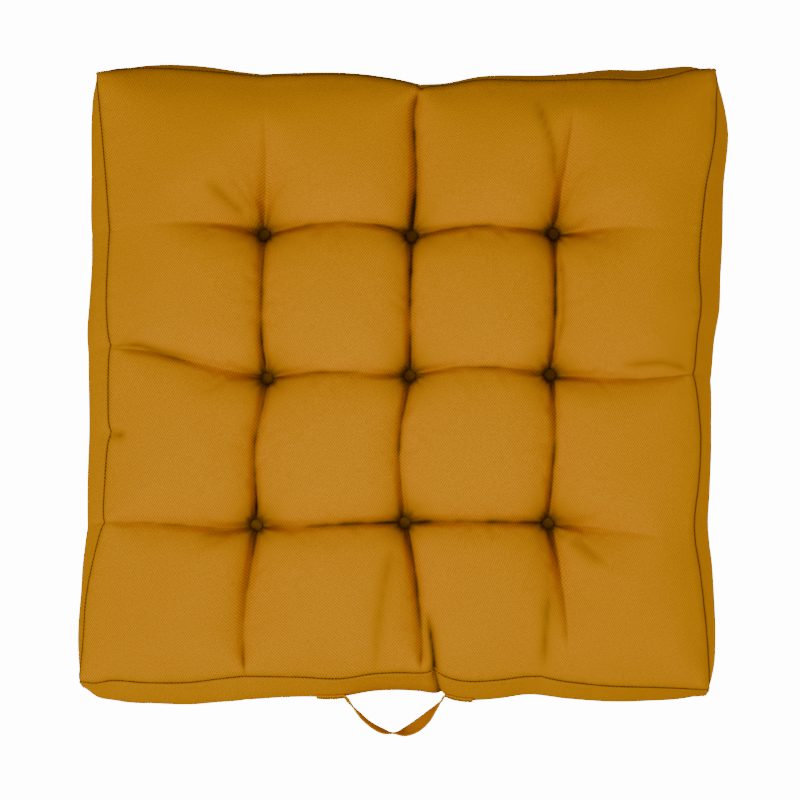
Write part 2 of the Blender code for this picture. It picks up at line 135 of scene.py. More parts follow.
ROW_BOWS = (
    (
        ((0.1, -2), (0.18, -0.3), (0.39, -3), (0.66, -4.3), (0.87, -1.4)),
        ((0.32, -1.8), (0.54, -3.9), (0.74, 0.4), (0.9, 1)),
        ((0.14, -2), (0.27, -4.7), (0.55, -1.6), (0.72, 2.7)),
        ((0.24, -1.7), (0.67, -0.5)),
    ),
    (
        ((0.3, 0.3), (0.64, -2.9), (0.87, -4)),
        ((0.24, -3.2), (0.57, -1.4)),
        ((0.32, 0.2), (0.67, 0.2)),
        ((0.36, 0.2),),
    ),
    (
        ((0.19, 3.5), (0.41, 3.5), (0.64, 0.5), (0.86, -0.5)),
        ((0.23, 3), (0.55, 2.5), (0.83, 0)),
        ((0.25, 5), (0.5, 6.3), (0.79, 3.4)),
        ((0.28, -3), (0.63, -5)),
    ),
    (
        ((0.39, 5.5), (0.78, 7)),
        ((0.31, 7.6), (0.59, 10.4), (0.86, 6.2)),
        ((0.24, 4), (0.49, 7), (0.77, 4)),
        ((0.32, 3.5), (0.66, 2.9)),
    ),
    (
        ((0.26, 4.8), (0.62, 3.9), (0.84, 1.4)),
        ((0.24, 3.8), (0.62, 6.2), (0.87, 3.2)),
        ((0.13, -1), (0.39, 2.9), (0.79, 0.3)),
        ((0.2, -1.6), (0.57, -5.7), (0.7, -3.6), (0.82, -0.4)),
    ),
)

# The panels' flat cut: the tufts were marked a little further apart than they end up.
CUT_TUFT = 0.151
CUT_HALF = 0.316
PANEL_CUT = 2 * CUT_HALF
CUT_KNOTS = np.array([-CUT_HALF, -CUT_TUFT, 0.0, CUT_TUFT, CUT_HALF])
KNOT_SHARES = (CUT_KNOTS + CUT_HALF) / PANEL_CUT
BORDER_CUT = 0.094


def through(points, at):
    """Read a smooth curve through (place, value) points at an array of places."""
    place, value = np.array(points, float).T
    slope = np.gradient(value, place)
    i = np.clip(np.searchsorted(place, at, side="right") - 1, 0, len(place) - 2)
    width = place[i + 1] - place[i]
    t = (at - place[i]) / width
    rise = value[i] * (1 + 2 * t) * (1 - t) ** 2 + value[i + 1] * t * t * (3 - 2 * t)
    return rise + width * (slope[i] * t * (1 - t) ** 2 - slope[i + 1] * t * t * (1 - t))


def stretch_of(shares):
    """Return which stretch between knots each share lies in, and how far along it."""
    shares = np.asarray(shares, float)
    stretch = np.clip(np.searchsorted(KNOT_SHARES, shares, side="right") - 1, 0, 3)
    return stretch, (shares - KNOT_SHARES[stretch]) / np.diff(KNOT_SHARES)[stretch]


def net_curve(knots, bows, axis, shares):
    """Return the plan points of one curve of the net at shares from 0 to 1 along it."""
    stretch, along = stretch_of(shares)
    knots = np.array(knots, float)
    points = knots[stretch] + (knots[stretch + 1] - knots[stretch]) * along[:, None]
    for k, bow in enumerate(bows):
        mine = stretch == k
        if mine.any() and bow:
            line = ((0.0, 0.0), *((share, off * MM) for share, off in bow), (1.0, 0.0))
            points[mine, axis] += through(line, along[mine])
    return points


def blending(shares):
    """Return how much of each of five curves a point at each share takes."""
    shares = np.asarray(shares, float)
    weights = []
    for i, knot in enumerate(KNOT_SHARES):
        others = [other for k, other in enumerate(KNOT_SHARES) if k != i]
        weights.append(np.prod([(shares - other) / (knot - other) for other in others], axis=0))
    return np.array(weights)


class Net:
    """A panel's plan: five columns and five rows of curves, and the surface between them."""

    def __init__(self, knots, column_bows, row_bows):
        self.knots = np.array(knots, float)
        self.column_bows = column_bows
        self.row_bows = row_bows
        self.tufts = self.knots[1:4, 1:4].reshape(-1, 2)

    def plan(self, across, along):
        """Return the grid of plan points at shares across (columns) and along (rows)."""
        bows = enumerate(self.column_bows)
        columns = np.array([net_curve(self.knots[:, i], bow, 0, along) for i, bow in bows])
        bows = enumerate(self.row_bows)
        rows = np.array([net_curve(self.knots[j], bow, 1, across) for j, bow in bows])
        by_column, by_row = blending(across), blending(along)
        grid = np.einsum("iu,ivc->uvc", by_column, columns)
        grid += np.einsum("jv,juc->uvc", by_row, rows)
        grid -= np.einsum("iu,jv,jic->uvc", by_column, by_row, self.knots)
        return grid


def from_middle(points):
    """Turn points in mm from the cushion's middle into plan points in metres."""
    return np.array(points, float) * MM + np.array([CENTRE.x, CENTRE.y])


def tuft_place(row, column, top=True):
    """Return a tuft's plan place; rows count from the back, columns from the left."""
    side = "top" if top else "under"
    place = middle(f"{side}_button_cap_row{row}_col{column}")
    drift = TUFT_DRIFT[row - 1][column - 1] if top else (0.0, 0.0)
    return np.array([place.x + drift[0] * MM, place.y + drift[1] * MM])


def net_knots(shift, top):
    """Return the 5 x 5 knots of a panel, from the front row to the back one."""
    seams = (FRONT_KNOTS, BACK_KNOTS, LEFT_KNOTS, RIGHT_KNOTS)
    front, back, left, right = (from_middle(knots) + shift for knots in seams)
    rows = [front]
    for row in (3, 2, 1):
        tufts = [tuft_place(row, column, top) for column in (1, 2, 3)]
        rows.append([left[3 - row], *tufts, right[3 - row]])
    return [*rows, back]


NO_BOWS = ((), (), (), ())
BOTTOM_SHIFT = np.array([0.0, -5.0 * MM])
TOP_NET = Net(net_knots(np.zeros(2), True), COLUMN_BOWS, ROW_BOWS)
BOTTOM_NET = Net(
    net_knots(BOTTOM_SHIFT, False),
    (COLUMN_BOWS[0], NO_BOWS, NO_BOWS, NO_BOWS, COLUMN_BOWS[4]),
    (ROW_BOWS[0], NO_BOWS, NO_BOWS, NO_BOWS, ROW_BOWS[4]),
)

# ---------------------------------------------------------------- starting shapes

# How hard the panel is creased along each stretch between knots, at its two ends.
COLUMN_CREASES = (
    ((0.6, 0.75), (0.9, 0.85), (0.85, 0.8), (0.6, -0.1)),
    ((0.7, 0.8), (0.75, 0.75), (1.0, 1.0), (1.0, 0.9)),
    ((-0.1, 0.85), (0.72, 0.78), (0.82, 0.82), (0.95, -0.1)),
)
ROW_CREASES = (
    ((0.6, 0.5), (0.85, 1.0), (1.0, 1.0), (0.6, -0.1)),
    ((0.5, 0.4), (0.62, 0.62), (0.62, 0.62), (0.55, 0.5)),
    ((-0.2, 0.35), (0.75, 0.7), (0.8, 0.75), (0.3, -0.2)),
)
DISH_RADIUS = 6 * MM
DISH_FLAT = 0.6 * DISH_RADIUS
# A curve's valley rises between its tufts as an arch, and fades in this share of a stretch
# beside the seam; a puff's flank is rounder for a higher power.
ARCH_POWER = 2.2
ARCH_FULLNESS = 0.75
SEAM_FADE = 0.16
PUFF_POWER = 2.6
BLEND_POWER = 4


def crease_at(creases, shares):
    """Return how hard one curve is creased at shares along it."""
    stretch, along = stretch_of(shares)
    ends = np.array(creases)[stretch]
    return np.clip(ends[:, 0] + (ends[:, 1] - ends[:, 0]) * along, 0, 1)


def puff(distance):
    """Return how much a puff still lacks at a share of its half width from its edge."""
    return 1 - np.sqrt(1 - (1 - np.clip(distance, 0, 1)) ** PUFF_POWER)


class Relief:
    """A panel's heights: a crowned sheet with valleys along the net and a dish per tuft."""

    def __init__(self, seam, dish, crown, valley, columns, rows):
        self.seam, self.dish, self.crown, self.valley = seam, dish, crown, valley
        self.columns, self.rows = columns, rows

    def depths(self, creases, shares):
        """Return how far a curve through three tufts lies from the crown."""
        stretch, along = stretch_of(shares)
        outer = [stretch == 0, stretch == 3]
        arch = 1 - np.select(outer, [along, 1 - along], np.abs(2 * along - 1)) ** ARCH_POWER
        fade = np.clip(np.select(outer, [along, 1 - along], 1.0) / SEAM_FADE, 0, 1)
        dish = self.crown - self.dish
        reach = self.valley * crease_at(creases, shares)
        return (dish + (reach - dish) * arch**ARCH_FULLNESS) * np.sqrt(1 - (1 - fade) ** 2)

    def flanks(self, curves, across, along):
        """Return how far a grid lies from the crown because of one family of curves."""
        seam = np.full(len(along), self.crown - self.seam)
        depths = np.array([seam, *(self.depths(curve, along) for curve in curves), seam])
        i, s = stretch_of(across)
        return depths[i + (s > 0.5)] * puff(2 * np.minimum(s, 1 - s))[:, None]

    def heights(self, shares):
        """Return the height at a grid of shares."""
        by_column = np.abs(self.flanks(self.columns, shares, shares))
        by_row = np.abs(self.flanks(self.rows, shares, shares)).T
        depth = (by_column**BLEND_POWER + by_row**BLEND_POWER) ** (1 / BLEND_POWER)
        z = self.crown - np.sign(self.crown - self.seam) * depth
        z[edges_of(z)] = self.seam
        return z


def nearest_tuft(plan, tufts):
    """Return the distance in plan from each point to its nearest tuft."""
    return np.linalg.norm(plan[..., None, :] - tufts, axis=-1).min(axis=-1)


TOP_RELIEF = Relief(TOP_SEAM_Z, TOP_DISH_Z, 106 * MM, 19 * MM, COLUMN_CREASES, ROW_CREASES)
UNDER_EVEN = (((0.5, 0.5),) * 4,) * 3
UNDER_RELIEF = Relief(BOTTOM_SEAM_Z, UNDER_DISH_Z, -3 * MM, -8 * MM, UNDER_EVEN, UNDER_EVEN)


def panel_start(net, relief, shares):
    """Return a panel's starting grid, flat where each button will sit."""
    plan = net.plan(shares, shares)
    z = relief.heights(shares)
    share = np.clip((nearest_tuft(plan, net.tufts) - DISH_FLAT) / DISH_RADIUS, 0, 1)
    z = relief.dish + (z - relief.dish) * share * share * (3 - 2 * share)
    return np.concatenate([plan, z[..., None]], axis=-1)


def seam_curve(net, side, shares):
    """Return a panel's edge in plan, running anticlockwise seen from above."""
    shares = np.asarray(shares, float)
    if side == "front":
        return net_curve(net.knots[0], net.row_bows[0], 1, shares)
    if side == "right":
        return net_curve(net.knots[:, 4], net.column_bows[4], 0, shares)
    if side == "back":
        return net_curve(net.knots[4], net.row_bows[4], 1, 1 - shares)
    return net_curve(net.knots[:, 0], net.column_bows[0], 0, 1 - shares)


OUTWARD = {"front": (0, -1), "right": (1, 0), "back": (0, 1), "left": (-1, 0)}
# How far each border swells past its seams, in mm at shares along it, anticlockwise.
BULGES = {
    "front": ((0, 1), (0.03, 12), (0.06, 17), (0.11, 17), (0.2, 19), (0.25, 20), (0.31, 17),
              (0.4, 14), (0.6, 15), (0.78, 12.5), (0.88, 10.5), (0.95, 7), (1, 1)),
    "right": ((0, 1), (0.05, 8), (0.1, 11), (0.2, 14.5), (0.26, 16.5), (0.36, 13), (0.42, 13),
              (0.5, 18), (0.6, 19.5), (0.7, 24), (0.79, 21), (0.84, 17.5), (0.94, 12), (1, 1)),
    "back": ((0, 1), (0.04, 10), (0.09, 16), (0.14, 17), (0.19, 16.5), (0.25, 13.5), (0.38, 11),
             (0.48, 8), (0.63, 8), (0.77, 9), (0.82, 11), (0.91, 9.5), (0.96, 6), (1, 1)),
    "left": ((0, 1), (0.03, 7), (0.06, 10), (0.16, 15.5), (0.25, 19.5), (0.32, 18), (0.4, 19),
             (0.46, 22), (0.55, 21), (0.7, 18.5), (0.8, 12.5), (0.85, 8.5), (0.93, 7.5), (1, 1)),
}


def border_start(side, shares, heights):
    """Return a border's starting grid, from the bottom seam up to the top one."""
    low = seam_curve(BOTTOM_NET, side, shares)
    high = seam_curve(TOP_NET, side, shares)
    h = np.asarray(heights, float)
    plan = low[:, None] + (high - low)[:, None] * h[None, :, None]
    swell = through(BULGES[side], shares)[:, None] * MM * np.sin(math.pi * h)[None]
    plan = plan + np.array(OUTWARD[side], float) * swell[..., None]
    z = BOTTOM_SEAM_Z + (TOP_SEAM_Z - BOTTOM_SEAM_Z) * h
    z = np.broadcast_to(z, plan.shape[:2])
    return np.concatenate([plan, z[..., None]], axis=-1)


# ---------------------------------------------------------------- cloth

CLOTH_CELL = 5.2 * MM
UNDER_CELL = 7.5 * MM
CLOTH_FRAMES = 22
CLOTH_SETTINGS = {
    "quality": 5,
    "mass": 0.01,
    "tension_stiffness": 40,
    "compression_stiffness": 30,
    "shear_stiffness": 12,
    "bending_stiffness": 0.05,
    "air_damping": 4,
    "use_pressure": True,
    "uniform_pressure_force": 100,
    "vertex_group_mass": "pins",
    "pin_stiffness": 50,
}
# How firmly the creases and the borders' middles are held, how hard a crease is before it
# is held at all, and which heights of a border are its middle.
CREASE_HOLD = 0.8
BORDER_HOLD = 0.4
HELD_FROM = 0.3
BORDER_MIDDLE = (0.3, 0.7)


def even(length, cell):
    """Return even shares from 0 to 1 whose steps are about one cell long."""
    return np.linspace(0, 1, round(length / cell) + 1)


def between_knots(cell):
    """Return shares with steps of about one cell, which fall on every knot."""
    counts = [round(width / cell) for width in np.diff(CUT_KNOTS)]
    index = np.concatenate([[0], np.cumsum(counts)])
    return np.interp(np.arange(index[-1] + 1), index, KNOT_SHARES)


def grid_faces(columns, rows, first=0):
    """Return a grid's quads as indices, counted column by column from first."""
    i, j = np.meshgrid(np.arange(columns - 1), np.arange(rows - 1), indexing="ij")
    a = first + i * rows + j
    return np.stack([a, a + rows, a + rows + 1, a + 1], axis=-1).reshape(-1, 4)


def inflate(sheets):
    """Swell sheets of cloth, all at once. Each is its start, flat cut and pins, as grids."""
    starts = [start.reshape(-1, 3) for start, _, _ in sheets]
    flats = [flat.reshape(-1, 3) for _, flat, _ in sheets]
    faces, first = [], 0
    for start, _, _ in sheets:
        faces.append(grid_faces(*start.shape[:2], first))
        first += start.shape[0] * start.shape[1]
    data = bpy.data.meshes.new("cloth")
    data.from_pydata(np.concatenate(starts).tolist(), [], np.concatenate(faces).tolist())
    cloth = bpy.data.objects.new("cloth", data)
    bpy.context.scene.collection.objects.link(cloth)
    cloth.shape_key_add(name="start")
    cut = cloth.shape_key_add(name="cut")
    cut.data.foreach_set("co", np.concatenate(flats).astype(np.float32).ravel())
    cut.value = 0.0
    pins = cloth.vertex_groups.new(name="pins")
    held = np.round(np.concatenate([hold.ravel() for _, _, hold in sheets]), 2)
    for hold in np.unique(held[held > 0]):
        pins.add(np.flatnonzero(held == hold).tolist(), float(hold), "REPLACE")
    solver = cloth.modifiers.new("Cloth", "CLOTH")
    settings = solver.settings
    for name, value in CLOTH_SETTINGS.items():
        setattr(settings, name, value)
    settings.rest_shape_key = cut
    settings.effector_weights.gravity = 0.0
    solver.collision_settings.use_collision = False
    solver.point_cache.frame_start = 1
    solver.point_cache.frame_end = CLOTH_FRAMES
    for step in range(1, CLOTH_FRAMES + 1):
        bpy.context.scene.frame_set(step)
    swollen = cloth.evaluated_get(bpy.context.evaluated_depsgraph_get()).to_mesh()
    points = np.zeros(len(swollen.vertices) * 3, np.float32)
    swollen.vertices.foreach_get("co", points)
    points = points.reshape(-1, 3).astype(float)
    bpy.data.objects.remove(cloth)
    bpy.context.scene.frame_set(1)
    grids, first = [], 0
    for start, _, _ in sheets:
        count = start.shape[0] * start.shape[1]
        grids.append(points[first : first + count].reshape(start.shape))
        first += count
    return grids


def flat_panel(shares, third):
    """Return a panel's flat cut as a grid of places, with a third value for each."""
    place = (shares - 0.5) * PANEL_CUT
    grid = np.zeros((len(shares), len(shares), 3))
    grid[..., 0] = place[:, None]
    grid[..., 1] = place
    grid[..., 2] = third
    return grid


def edges_of(grid):
    """Mark a grid's outermost points."""
    marked = np.ones(grid.shape[:2], bool)
    marked[1:-1, 1:-1] = False
    return marked


def crease_hold(curves, shares):
    """Return how hard a grid is creased on the lines nearest to a family of curves."""
    hold = np.zeros((len(shares), len(shares)))
    for knot, creases in zip(KNOT_SHARES[1:4], curves):
        hold[np.abs(shares - knot).argmin()] = crease_at(creases, shares)
    return hold


def panel_sheet(net, relief, shares, side):
    """Return a panel's start, its flat cut and how firmly each of its points is held."""
    start = panel_start(net, relief, shares)
    hard = np.maximum(crease_hold(relief.columns, shares), crease_hold(relief.rows, shares).T)
    pins = CREASE_HOLD * np.clip((hard - HELD_FROM) / (1 - HELD_FROM), 0, 1)
    pins[edges_of(start) | (nearest_tuft(start[..., :2], net.tufts) < DISH_RADIUS)] = 1
    return start, flat_panel(shares, side), pins


def border_sheet(side, shares, heights):
    """Return a border's start, its flat cut and how firmly each of its points is held."""
    start = border_start(side, shares, heights)
    flat = np.zeros(start.shape)
    flat[..., 0] = (shares * PANEL_CUT)[:, None]
    flat[..., 2] = heights * BORDER_CUT
    pins = np.zeros(start.shape[:2])
    pins[:, (heights > BORDER_MIDDLE[0]) & (heights < BORDER_MIDDLE[1])] = BORDER_HOLD
    pins[edges_of(start)] = 1
    return start, flat, pins


def border_shares(side, shares):
    """Return a border's shares, anticlockwise, that meet a panel's shares along its edge."""
    return shares if side in ("front", "right") else 1 - shares[::-1]


def simulate():
    """Return the swollen grids of the top panel, the bottom panel and the four borders."""
    cells, heights = between_knots(CLOTH_CELL), even(BORDER_CUT, CLOTH_CELL)
    under = panel_sheet(BOTTOM_NET, UNDER_RELIEF, between_knots(UNDER_CELL), -1)
    sheets = [
        panel_sheet(TOP_NET, TOP_RELIEF, cells, 1),
        tuple(grid[:, ::-1] for grid in under),
        *(border_sheet(side, border_shares(side, cells), heights) for side in SIDES),
    ]
    return inflate(sheets)


# ---------------------------------------------------------------- final meshes

# How finely a graded edge is measured out.
GRADING_STEPS = 20001


def resample(known, places):
    """Return the weights that read a smooth curve through points at known shares."""
    count = len(known)
    at = np.interp(places, known, np.arange(count))
    i = np.minimum(at.astype(int), count - 2)
    t = at - i
    weights = np.zeros((len(at), count))
    index = np.arange(len(at))
    shares = (
        -0.5 * t + t**2 - 0.5 * t**3,
        1 - 2.5 * t**2 + 1.5 * t**3,
        0.5 * t + 2 * t**2 - 1.5 * t**3,
        -0.5 * t**2 + 0.5 * t**3,
    )
    for offset, share in zip((-1, 0, 1, 2), shares):
        k = i + offset
        low, high = k < 0, k > count - 1
        fine = ~(low | high)
        np.add.at(weights, (index[fine], k[fine]), share[fine])
        for missing, end, inner in ((low, 0, 1), (high, count - 1, count - 2)):
            np.add.at(weights, (index[missing], np.full(missing.sum(), end)), 2 * share[missing])
            np.add.at(weights, (index[missing], np.full(missing.sum(), inner)), -share[missing])
    return weights


def resampled(grid, known, across, along):
    """Read a swollen grid, whose lines lie at known shares, at new shares."""
    left = resample(known[0], across)
    right = resample(known[1], along)
    return np.einsum("ui,ijc,vj->uvc", left, grid, right, optimize=True)


def graded(fine_at, finest, coarsest, growth, length):
    """Return shares from 0 to 1 whose steps grow away from the places in fine_at."""
    dense = np.linspace(0, 1, GRADING_STEPS)
    away = np.abs(dense[:, None] - np.array(fine_at)[None, :]).min(axis=1) * length
    step = np.clip(finest + growth * away, finest, coarsest) / length
    shares = []
    for start, end in zip(fine_at, fine_at[1:]):
        inside = (dense >= start) & (dense <= end)
        run = np.concatenate([[0], np.cumsum(1 / step[inside][:-1] * np.diff(dense[inside]))])
        count = max(2, round(run[-1]))
        places = np.interp(np.linspace(0, run[-1], count + 1), run, dense[inside])
        places[0], places[-1] = start, end
        shares += places[:-1].tolist()
    return np.array([*shares, fine_at[-1]])


# ---------------------------------------------------------------- pressed-in folds and painted shade

CANVAS = 0.8 * MM
# Folds off the net, as points in mm from the cushion's middle with a depth and half width.
FOLDS = (
    (((-146, 157), (-165, 172), (-189, 194)), 2.6, 5),
    (((24, -218), (28, -240), (31, -262), (33, -285), (34, -310)), 6, 2.6),
    (((-6, -150), (-15, -190), (-21, -228), (-26, -290)), 1.8, 4.5),
    (((128, 276), (137, 252), (147, 222), (149, 190)), 2.6, 3.5),
    (((142, -198), (138, -235), (135, -282)), 2.8, 3.5),
    (((156, -149), (174, -161), (194, -176)), 1.8, 5),
    (((-279, 35), (-250, 34), (-223, 25), (-190, 16)), 3.4, 3.2),
    (((-196, -148), (-175, -146), (-154, -140)), 1.8, 4.5),
    (((206, 14), (250, 18), (281, 11)), 2.2, 4),
    (((-284, -49), (-272, -51), (-262, -54)), 3, 2.6),
    (((151, 134), (155, 100), (155, 60), (149, 24)), 2.2, 2.6),
)
# Places where the top seam is drawn in, in mm from the middle: x, y, pull and its direction.
TUCKS = (
    (-279, 35, 2.5, (1, 0)),
    (-281, -49, 4.5, (1, 0)),
    (-286, -135, 2.5, (1, 0)),
    (32, -281, 7.0, (0, 1)),
    (134, -283, 1.5, (0, 1)),
    (281, 7, 2.0, (-1, 0)),
    (20, 285, 4.0, (0, -1)),
    (-98, 295, 1.0, (0, -1)),
)
TUCK_ALONG = 6 * MM
TUCK_ACROSS = 15 * MM
# Depth and half width of the hardest creases, and how far their lines wander.
COLUMN_PRESS = (4.6 * MM, 2.3 * MM)
ROW_PRESS = (4.2 * MM, 2.1 * MM)
CREASE_WANDER = 0.3 * MM
# Widths over which creases and folds fade in from the seam, and creases from a button.
CREASE_FADE = 12 * MM
FOLD_FADE = 3 * MM
DISH_FADE = 7 * MM
# How much painted shade a fold takes per mm of depth, how much painted shade darkens the
# cloth round the buttons and beside the seams, and over what distance that painted shade falls off.
FOLD_SHADE = 0.17
DISH_SHADE, DISH_SHADE_REACH = 0.8, 9 * MM
SEAM_SHADE, SEAM_SHADE_REACH = 0.5, 1 * MM
PLEATS = 9
PLEAT_DEPTH = 0.9 * MM
PLEAT_REACH = 9 * MM
RIPPLE_HEIGHT = 0.8 * MM
RIPPLE_REACH = 9 * MM
SHOULDER_HEIGHT = 1.1 * MM
SHOULDER_REACH = 3 * MM


def wander(at, seed):
    """Return a smooth, uneven wave between about -1 and 1 over places in metres."""
    wave = 0
    for length, share in ((0.19, 0.56), (0.083, 0.42), (0.037, 0.28), (0.017, 0.14)):
        turns = np.asarray(at) / length + 0.618 * seed / length**0.5
        wave = wave + share * np.sin(2 * math.pi * turns)
    return wave


def vee(distance, width):
    """Return a fold's cross-section: 1 at its bottom line, falling off on both sides."""
    return np.exp(-np.abs(distance) / width)


def fold_shade(distance, hard):
    """Return how much painted shade darkens a crease at a distance from its bottom line."""
    width = (0.6 + 1.6 * np.clip(hard, 0, 1) ** 2) * MM
    return np.clip(1.1 * hard, 0, 1) * np.exp(-((np.abs(distance) / width) ** 1.6))


def off_line(plan, line):
    """Return each point's distance from a line of points, and its share along the line."""
    best = np.full(plan.shape[:-1], np.inf)
    share = np.zeros(plan.shape[:-1])
    steps = len(line) - 1
    for k in range(steps):
        start, run = line[k], line[k + 1] - line[k]
        t = np.clip(((plan - start) @ run) / (run @ run), 0, 1)
        away = np.linalg.norm(plan - (start + t[..., None] * run), axis=-1)
        nearer = away < best
        best = np.where(nearer, away, best)
        share = np.where(nearer, (k + t) / steps, share)
    return best, share


def tuck(points):
    """Draw points in towards the middle where the top seam is tucked."""
    moved = points.copy()
    for x, y, amount, inward in TUCKS:
        here = np.array([*from_middle((x, y)), TOP_SEAM_Z])
        inward = np.array([*inward, 0.0], float)
        side = np.array([-inward[1], inward[0], 0.0])
        away = points - here
        along = np.abs(away @ side) / TUCK_ALONG
        across = np.linalg.norm(away - (away @ side)[..., None] * side, axis=-1) / TUCK_ACROSS
        moved += (amount * MM * np.exp(-along - across**1.5))[..., None] * inward
    return moved


def grid_normals(grid, outward=1):
    """Return the unit normals of a grid of points."""
    normals = np.cross(np.gradient(grid, axis=0), np.gradient(grid, axis=1))
    length = np.linalg.norm(normals, axis=-1, keepdims=True)
    return outward * normals / np.maximum(length, 1e-12)


def seam_ripple(along, away, seed):
    """Return the puckers a seam draws up in the cloth beside it, by place and distance."""
    wave = wander(along * 3.1, seed) * 0.6 + wander(along * 6.3, seed + 2) * 0.5
    return RIPPLE_HEIGHT * wave * np.exp(-away / RIPPLE_REACH) * (1 - np.exp(-away / (1.5 * MM)))


def shoulder(away):
    """Return how the cloth rolls up beside a seam."""
    reach = away / SHOULDER_REACH
    return SHOULDER_HEIGHT * reach * np.exp(1 - reach)


def pressed_creases(curves, shares, press, seed):
    """Return how deep the creases are that run along a grid's second side, and their painted shade.
    """
    deep, width = press
    place = (shares - 0.5) * PANEL_CUT
    depth = shade = np.zeros((len(place), len(place)))
    for k, (knot, creases) in enumerate(zip(CUT_KNOTS[1:4], curves), seed):
        hard = crease_at(creases, shares) * (0.8 + 0.25 * wander(place, k))
        off = place[:, None] - (knot + CREASE_WANDER * wander(place, k + 4))
        depth = np.maximum(depth, deep * hard * vee(off, width))
        shade = np.maximum(shade, fold_shade(off, hard))
    return depth, shade


def loose_folds(folds, plan):
    """Return how deep the folds are that follow lines of their own, and their painted shade."""
    depth = shade = np.zeros(plan.shape[:-1])
    for line, deep, width in folds:
        distance, share = off_line(plan, from_middle(line))
        fold = deep * np.clip(4 * np.minimum(share, 1 - share), 0, 1) * vee(distance, width * MM)
        depth = np.maximum(depth, fold * MM)
        shade = np.maximum(shade, fold * FOLD_SHADE)
    return depth, shade


def gathers(plan, tufts, away):
    """Return the little pleats that the buttons draw up around themselves."""
    nearest = np.linalg.norm(plan[..., None, :] - tufts, axis=-1).argmin(axis=-1)
    spoke = plan - tufts[nearest]
    angle = np.arctan2(spoke[..., 1], spoke[..., 0]) + 1.7 * nearest
    pleat = np.cos(PLEATS * angle + 1.6 * np.sin(2 * angle))
    near = np.clip((away - 0.8 * DISH_RADIUS) / (4 * MM), 0, 1)
    return PLEAT_DEPTH * pleat * near * np.exp(-np.clip(away - DISH_RADIUS, 0, None) / PLEAT_REACH)


def panel_relief(plan, shares, net, relief, folds):
    """Return how far a panel's points stand out, how far they drop, and their painted shade."""
    place = (shares - 0.5) * PANEL_CUT
    to_side = CUT_HALF - np.abs(place)
    from_side, from_end = np.meshgrid(to_side, to_side, indexing="ij")
    edge = np.minimum(from_side, from_end)
    away = nearest_tuft(plan, net.tufts)
    columns = pressed_creases(relief.columns, shares, COLUMN_PRESS, 0)
    rows = pressed_creases(relief.rows, shares, ROW_PRESS, 8)
    inside = np.clip(edge / CREASE_FADE, 0, 1)
    in_fold = np.clip(edge / FOLD_FADE, 0, 1)
    depth, shade = (
        np.maximum(np.maximum(column, row.T) * inside, fold * in_fold)
        for column, row, fold in zip(columns, rows, loose_folds(folds, plan))
    )
    beyond = np.clip(away - DISH_RADIUS, 0, None)
    # Painted shade round the buttons' dimples and beside the seams.
    shade = np.maximum(shade, DISH_SHADE * np.exp(-beyond / DISH_SHADE_REACH))
    shade = np.maximum(shade, SEAM_SHADE * np.exp(-edge / SEAM_SHADE_REACH))
    beside_side = seam_ripple(place[None], edge, 1)
    beside_end = seam_ripple(place[:, None], edge, 3)
    out = gathers(plan, net.tufts, away) + np.where(from_side < from_end, beside_side, beside_end)
    return out + shoulder(edge), depth * np.clip(beyond / DISH_FADE, 0, 1), np.clip(shade, 0, 1)


def lifted(grid, relief, drop=0.0, outward=1):
    """Move a grid's points out along its normals, and straight down into its folds."""
    moved = grid + relief[..., None] * grid_normals(grid, outward)
    moved[..., 2] -= outward * drop
    return moved


# ---------------------------------------------------------------- meshes


def new_object(name, points, faces, places=None):
    """Make a smooth mesh object; places are its points' flat-cloth places, then its painted shade.
    """
    data = bpy.data.meshes.new(name)
    data.from_pydata(np.asarray(points).tolist(), [], [list(map(int, f)) for f in faces])
    flat = np.zeros((len(points), 3), np.float32)
    if places is not None:
        flat[:, : places.shape[1]] = places
    layer = data.attributes.new("cloth_place", "FLOAT_VECTOR", "POINT")
    layer.data.foreach_set("vector", flat.ravel())
    data.shade_smooth()
    made = bpy.data.objects.new(name, data)
    bpy.context.scene.collection.objects.link(made)
    return made


def thick_sheet(name, grid, cut, outward):
    """Make a closed sheet whose outer face is a grid of points."""
    columns, rows = grid.shape[:2]
    inner = grid - CANVAS * grid_normals(grid, outward)
    points = np.concatenate([grid.reshape(-1, 3), inner.reshape(-1, 3)])
    outer_faces = grid_faces(columns, rows)
    if outward < 0:
        outer_faces = outer_faces[:, ::-1]
    inner_faces = outer_faces[:, ::-1] + columns * rows
    index = np.arange(columns * rows).reshape(columns, rows)
    loop = np.concatenate([index[:, 0], index[-1, 1:], index[-2::-1, -1], index[0, -2:0:-1]])
    if outward < 0:
        loop = loop[::-1]
    after = np.roll(loop, -1)
    rim = np.stack([after, loop, loop + columns * rows, after + columns * rows], axis=-1)
    faces = np.concatenate([outer_faces, inner_faces, rim])
    places = np.concatenate([cut.reshape(-1, 3)] * 2)
    return new_object(name, points, faces, places)


def ring_faces(rings, sides):
    """Return the faces of a closed solid whose points lie in rings, all of the same length."""
    faces = []
    for first in range(0, (rings - 1) * sides, sides):
        for k in range(sides):
            a, b = first + k, first + (k + 1) % sides
            faces.append([a, b, b + sides, a + sides])
    points = list(range(rings * sides))
    return [*faces, points[:sides][::-1], points[-sides:]]


# A stitch's rings: how far along it each lies and its girth, in shares.
STITCH_RINGS = ((-0.5, 0.45), (-0.32, 1), (0.32, 1), (0.5, 0.45))
STITCH_SIDES = 6


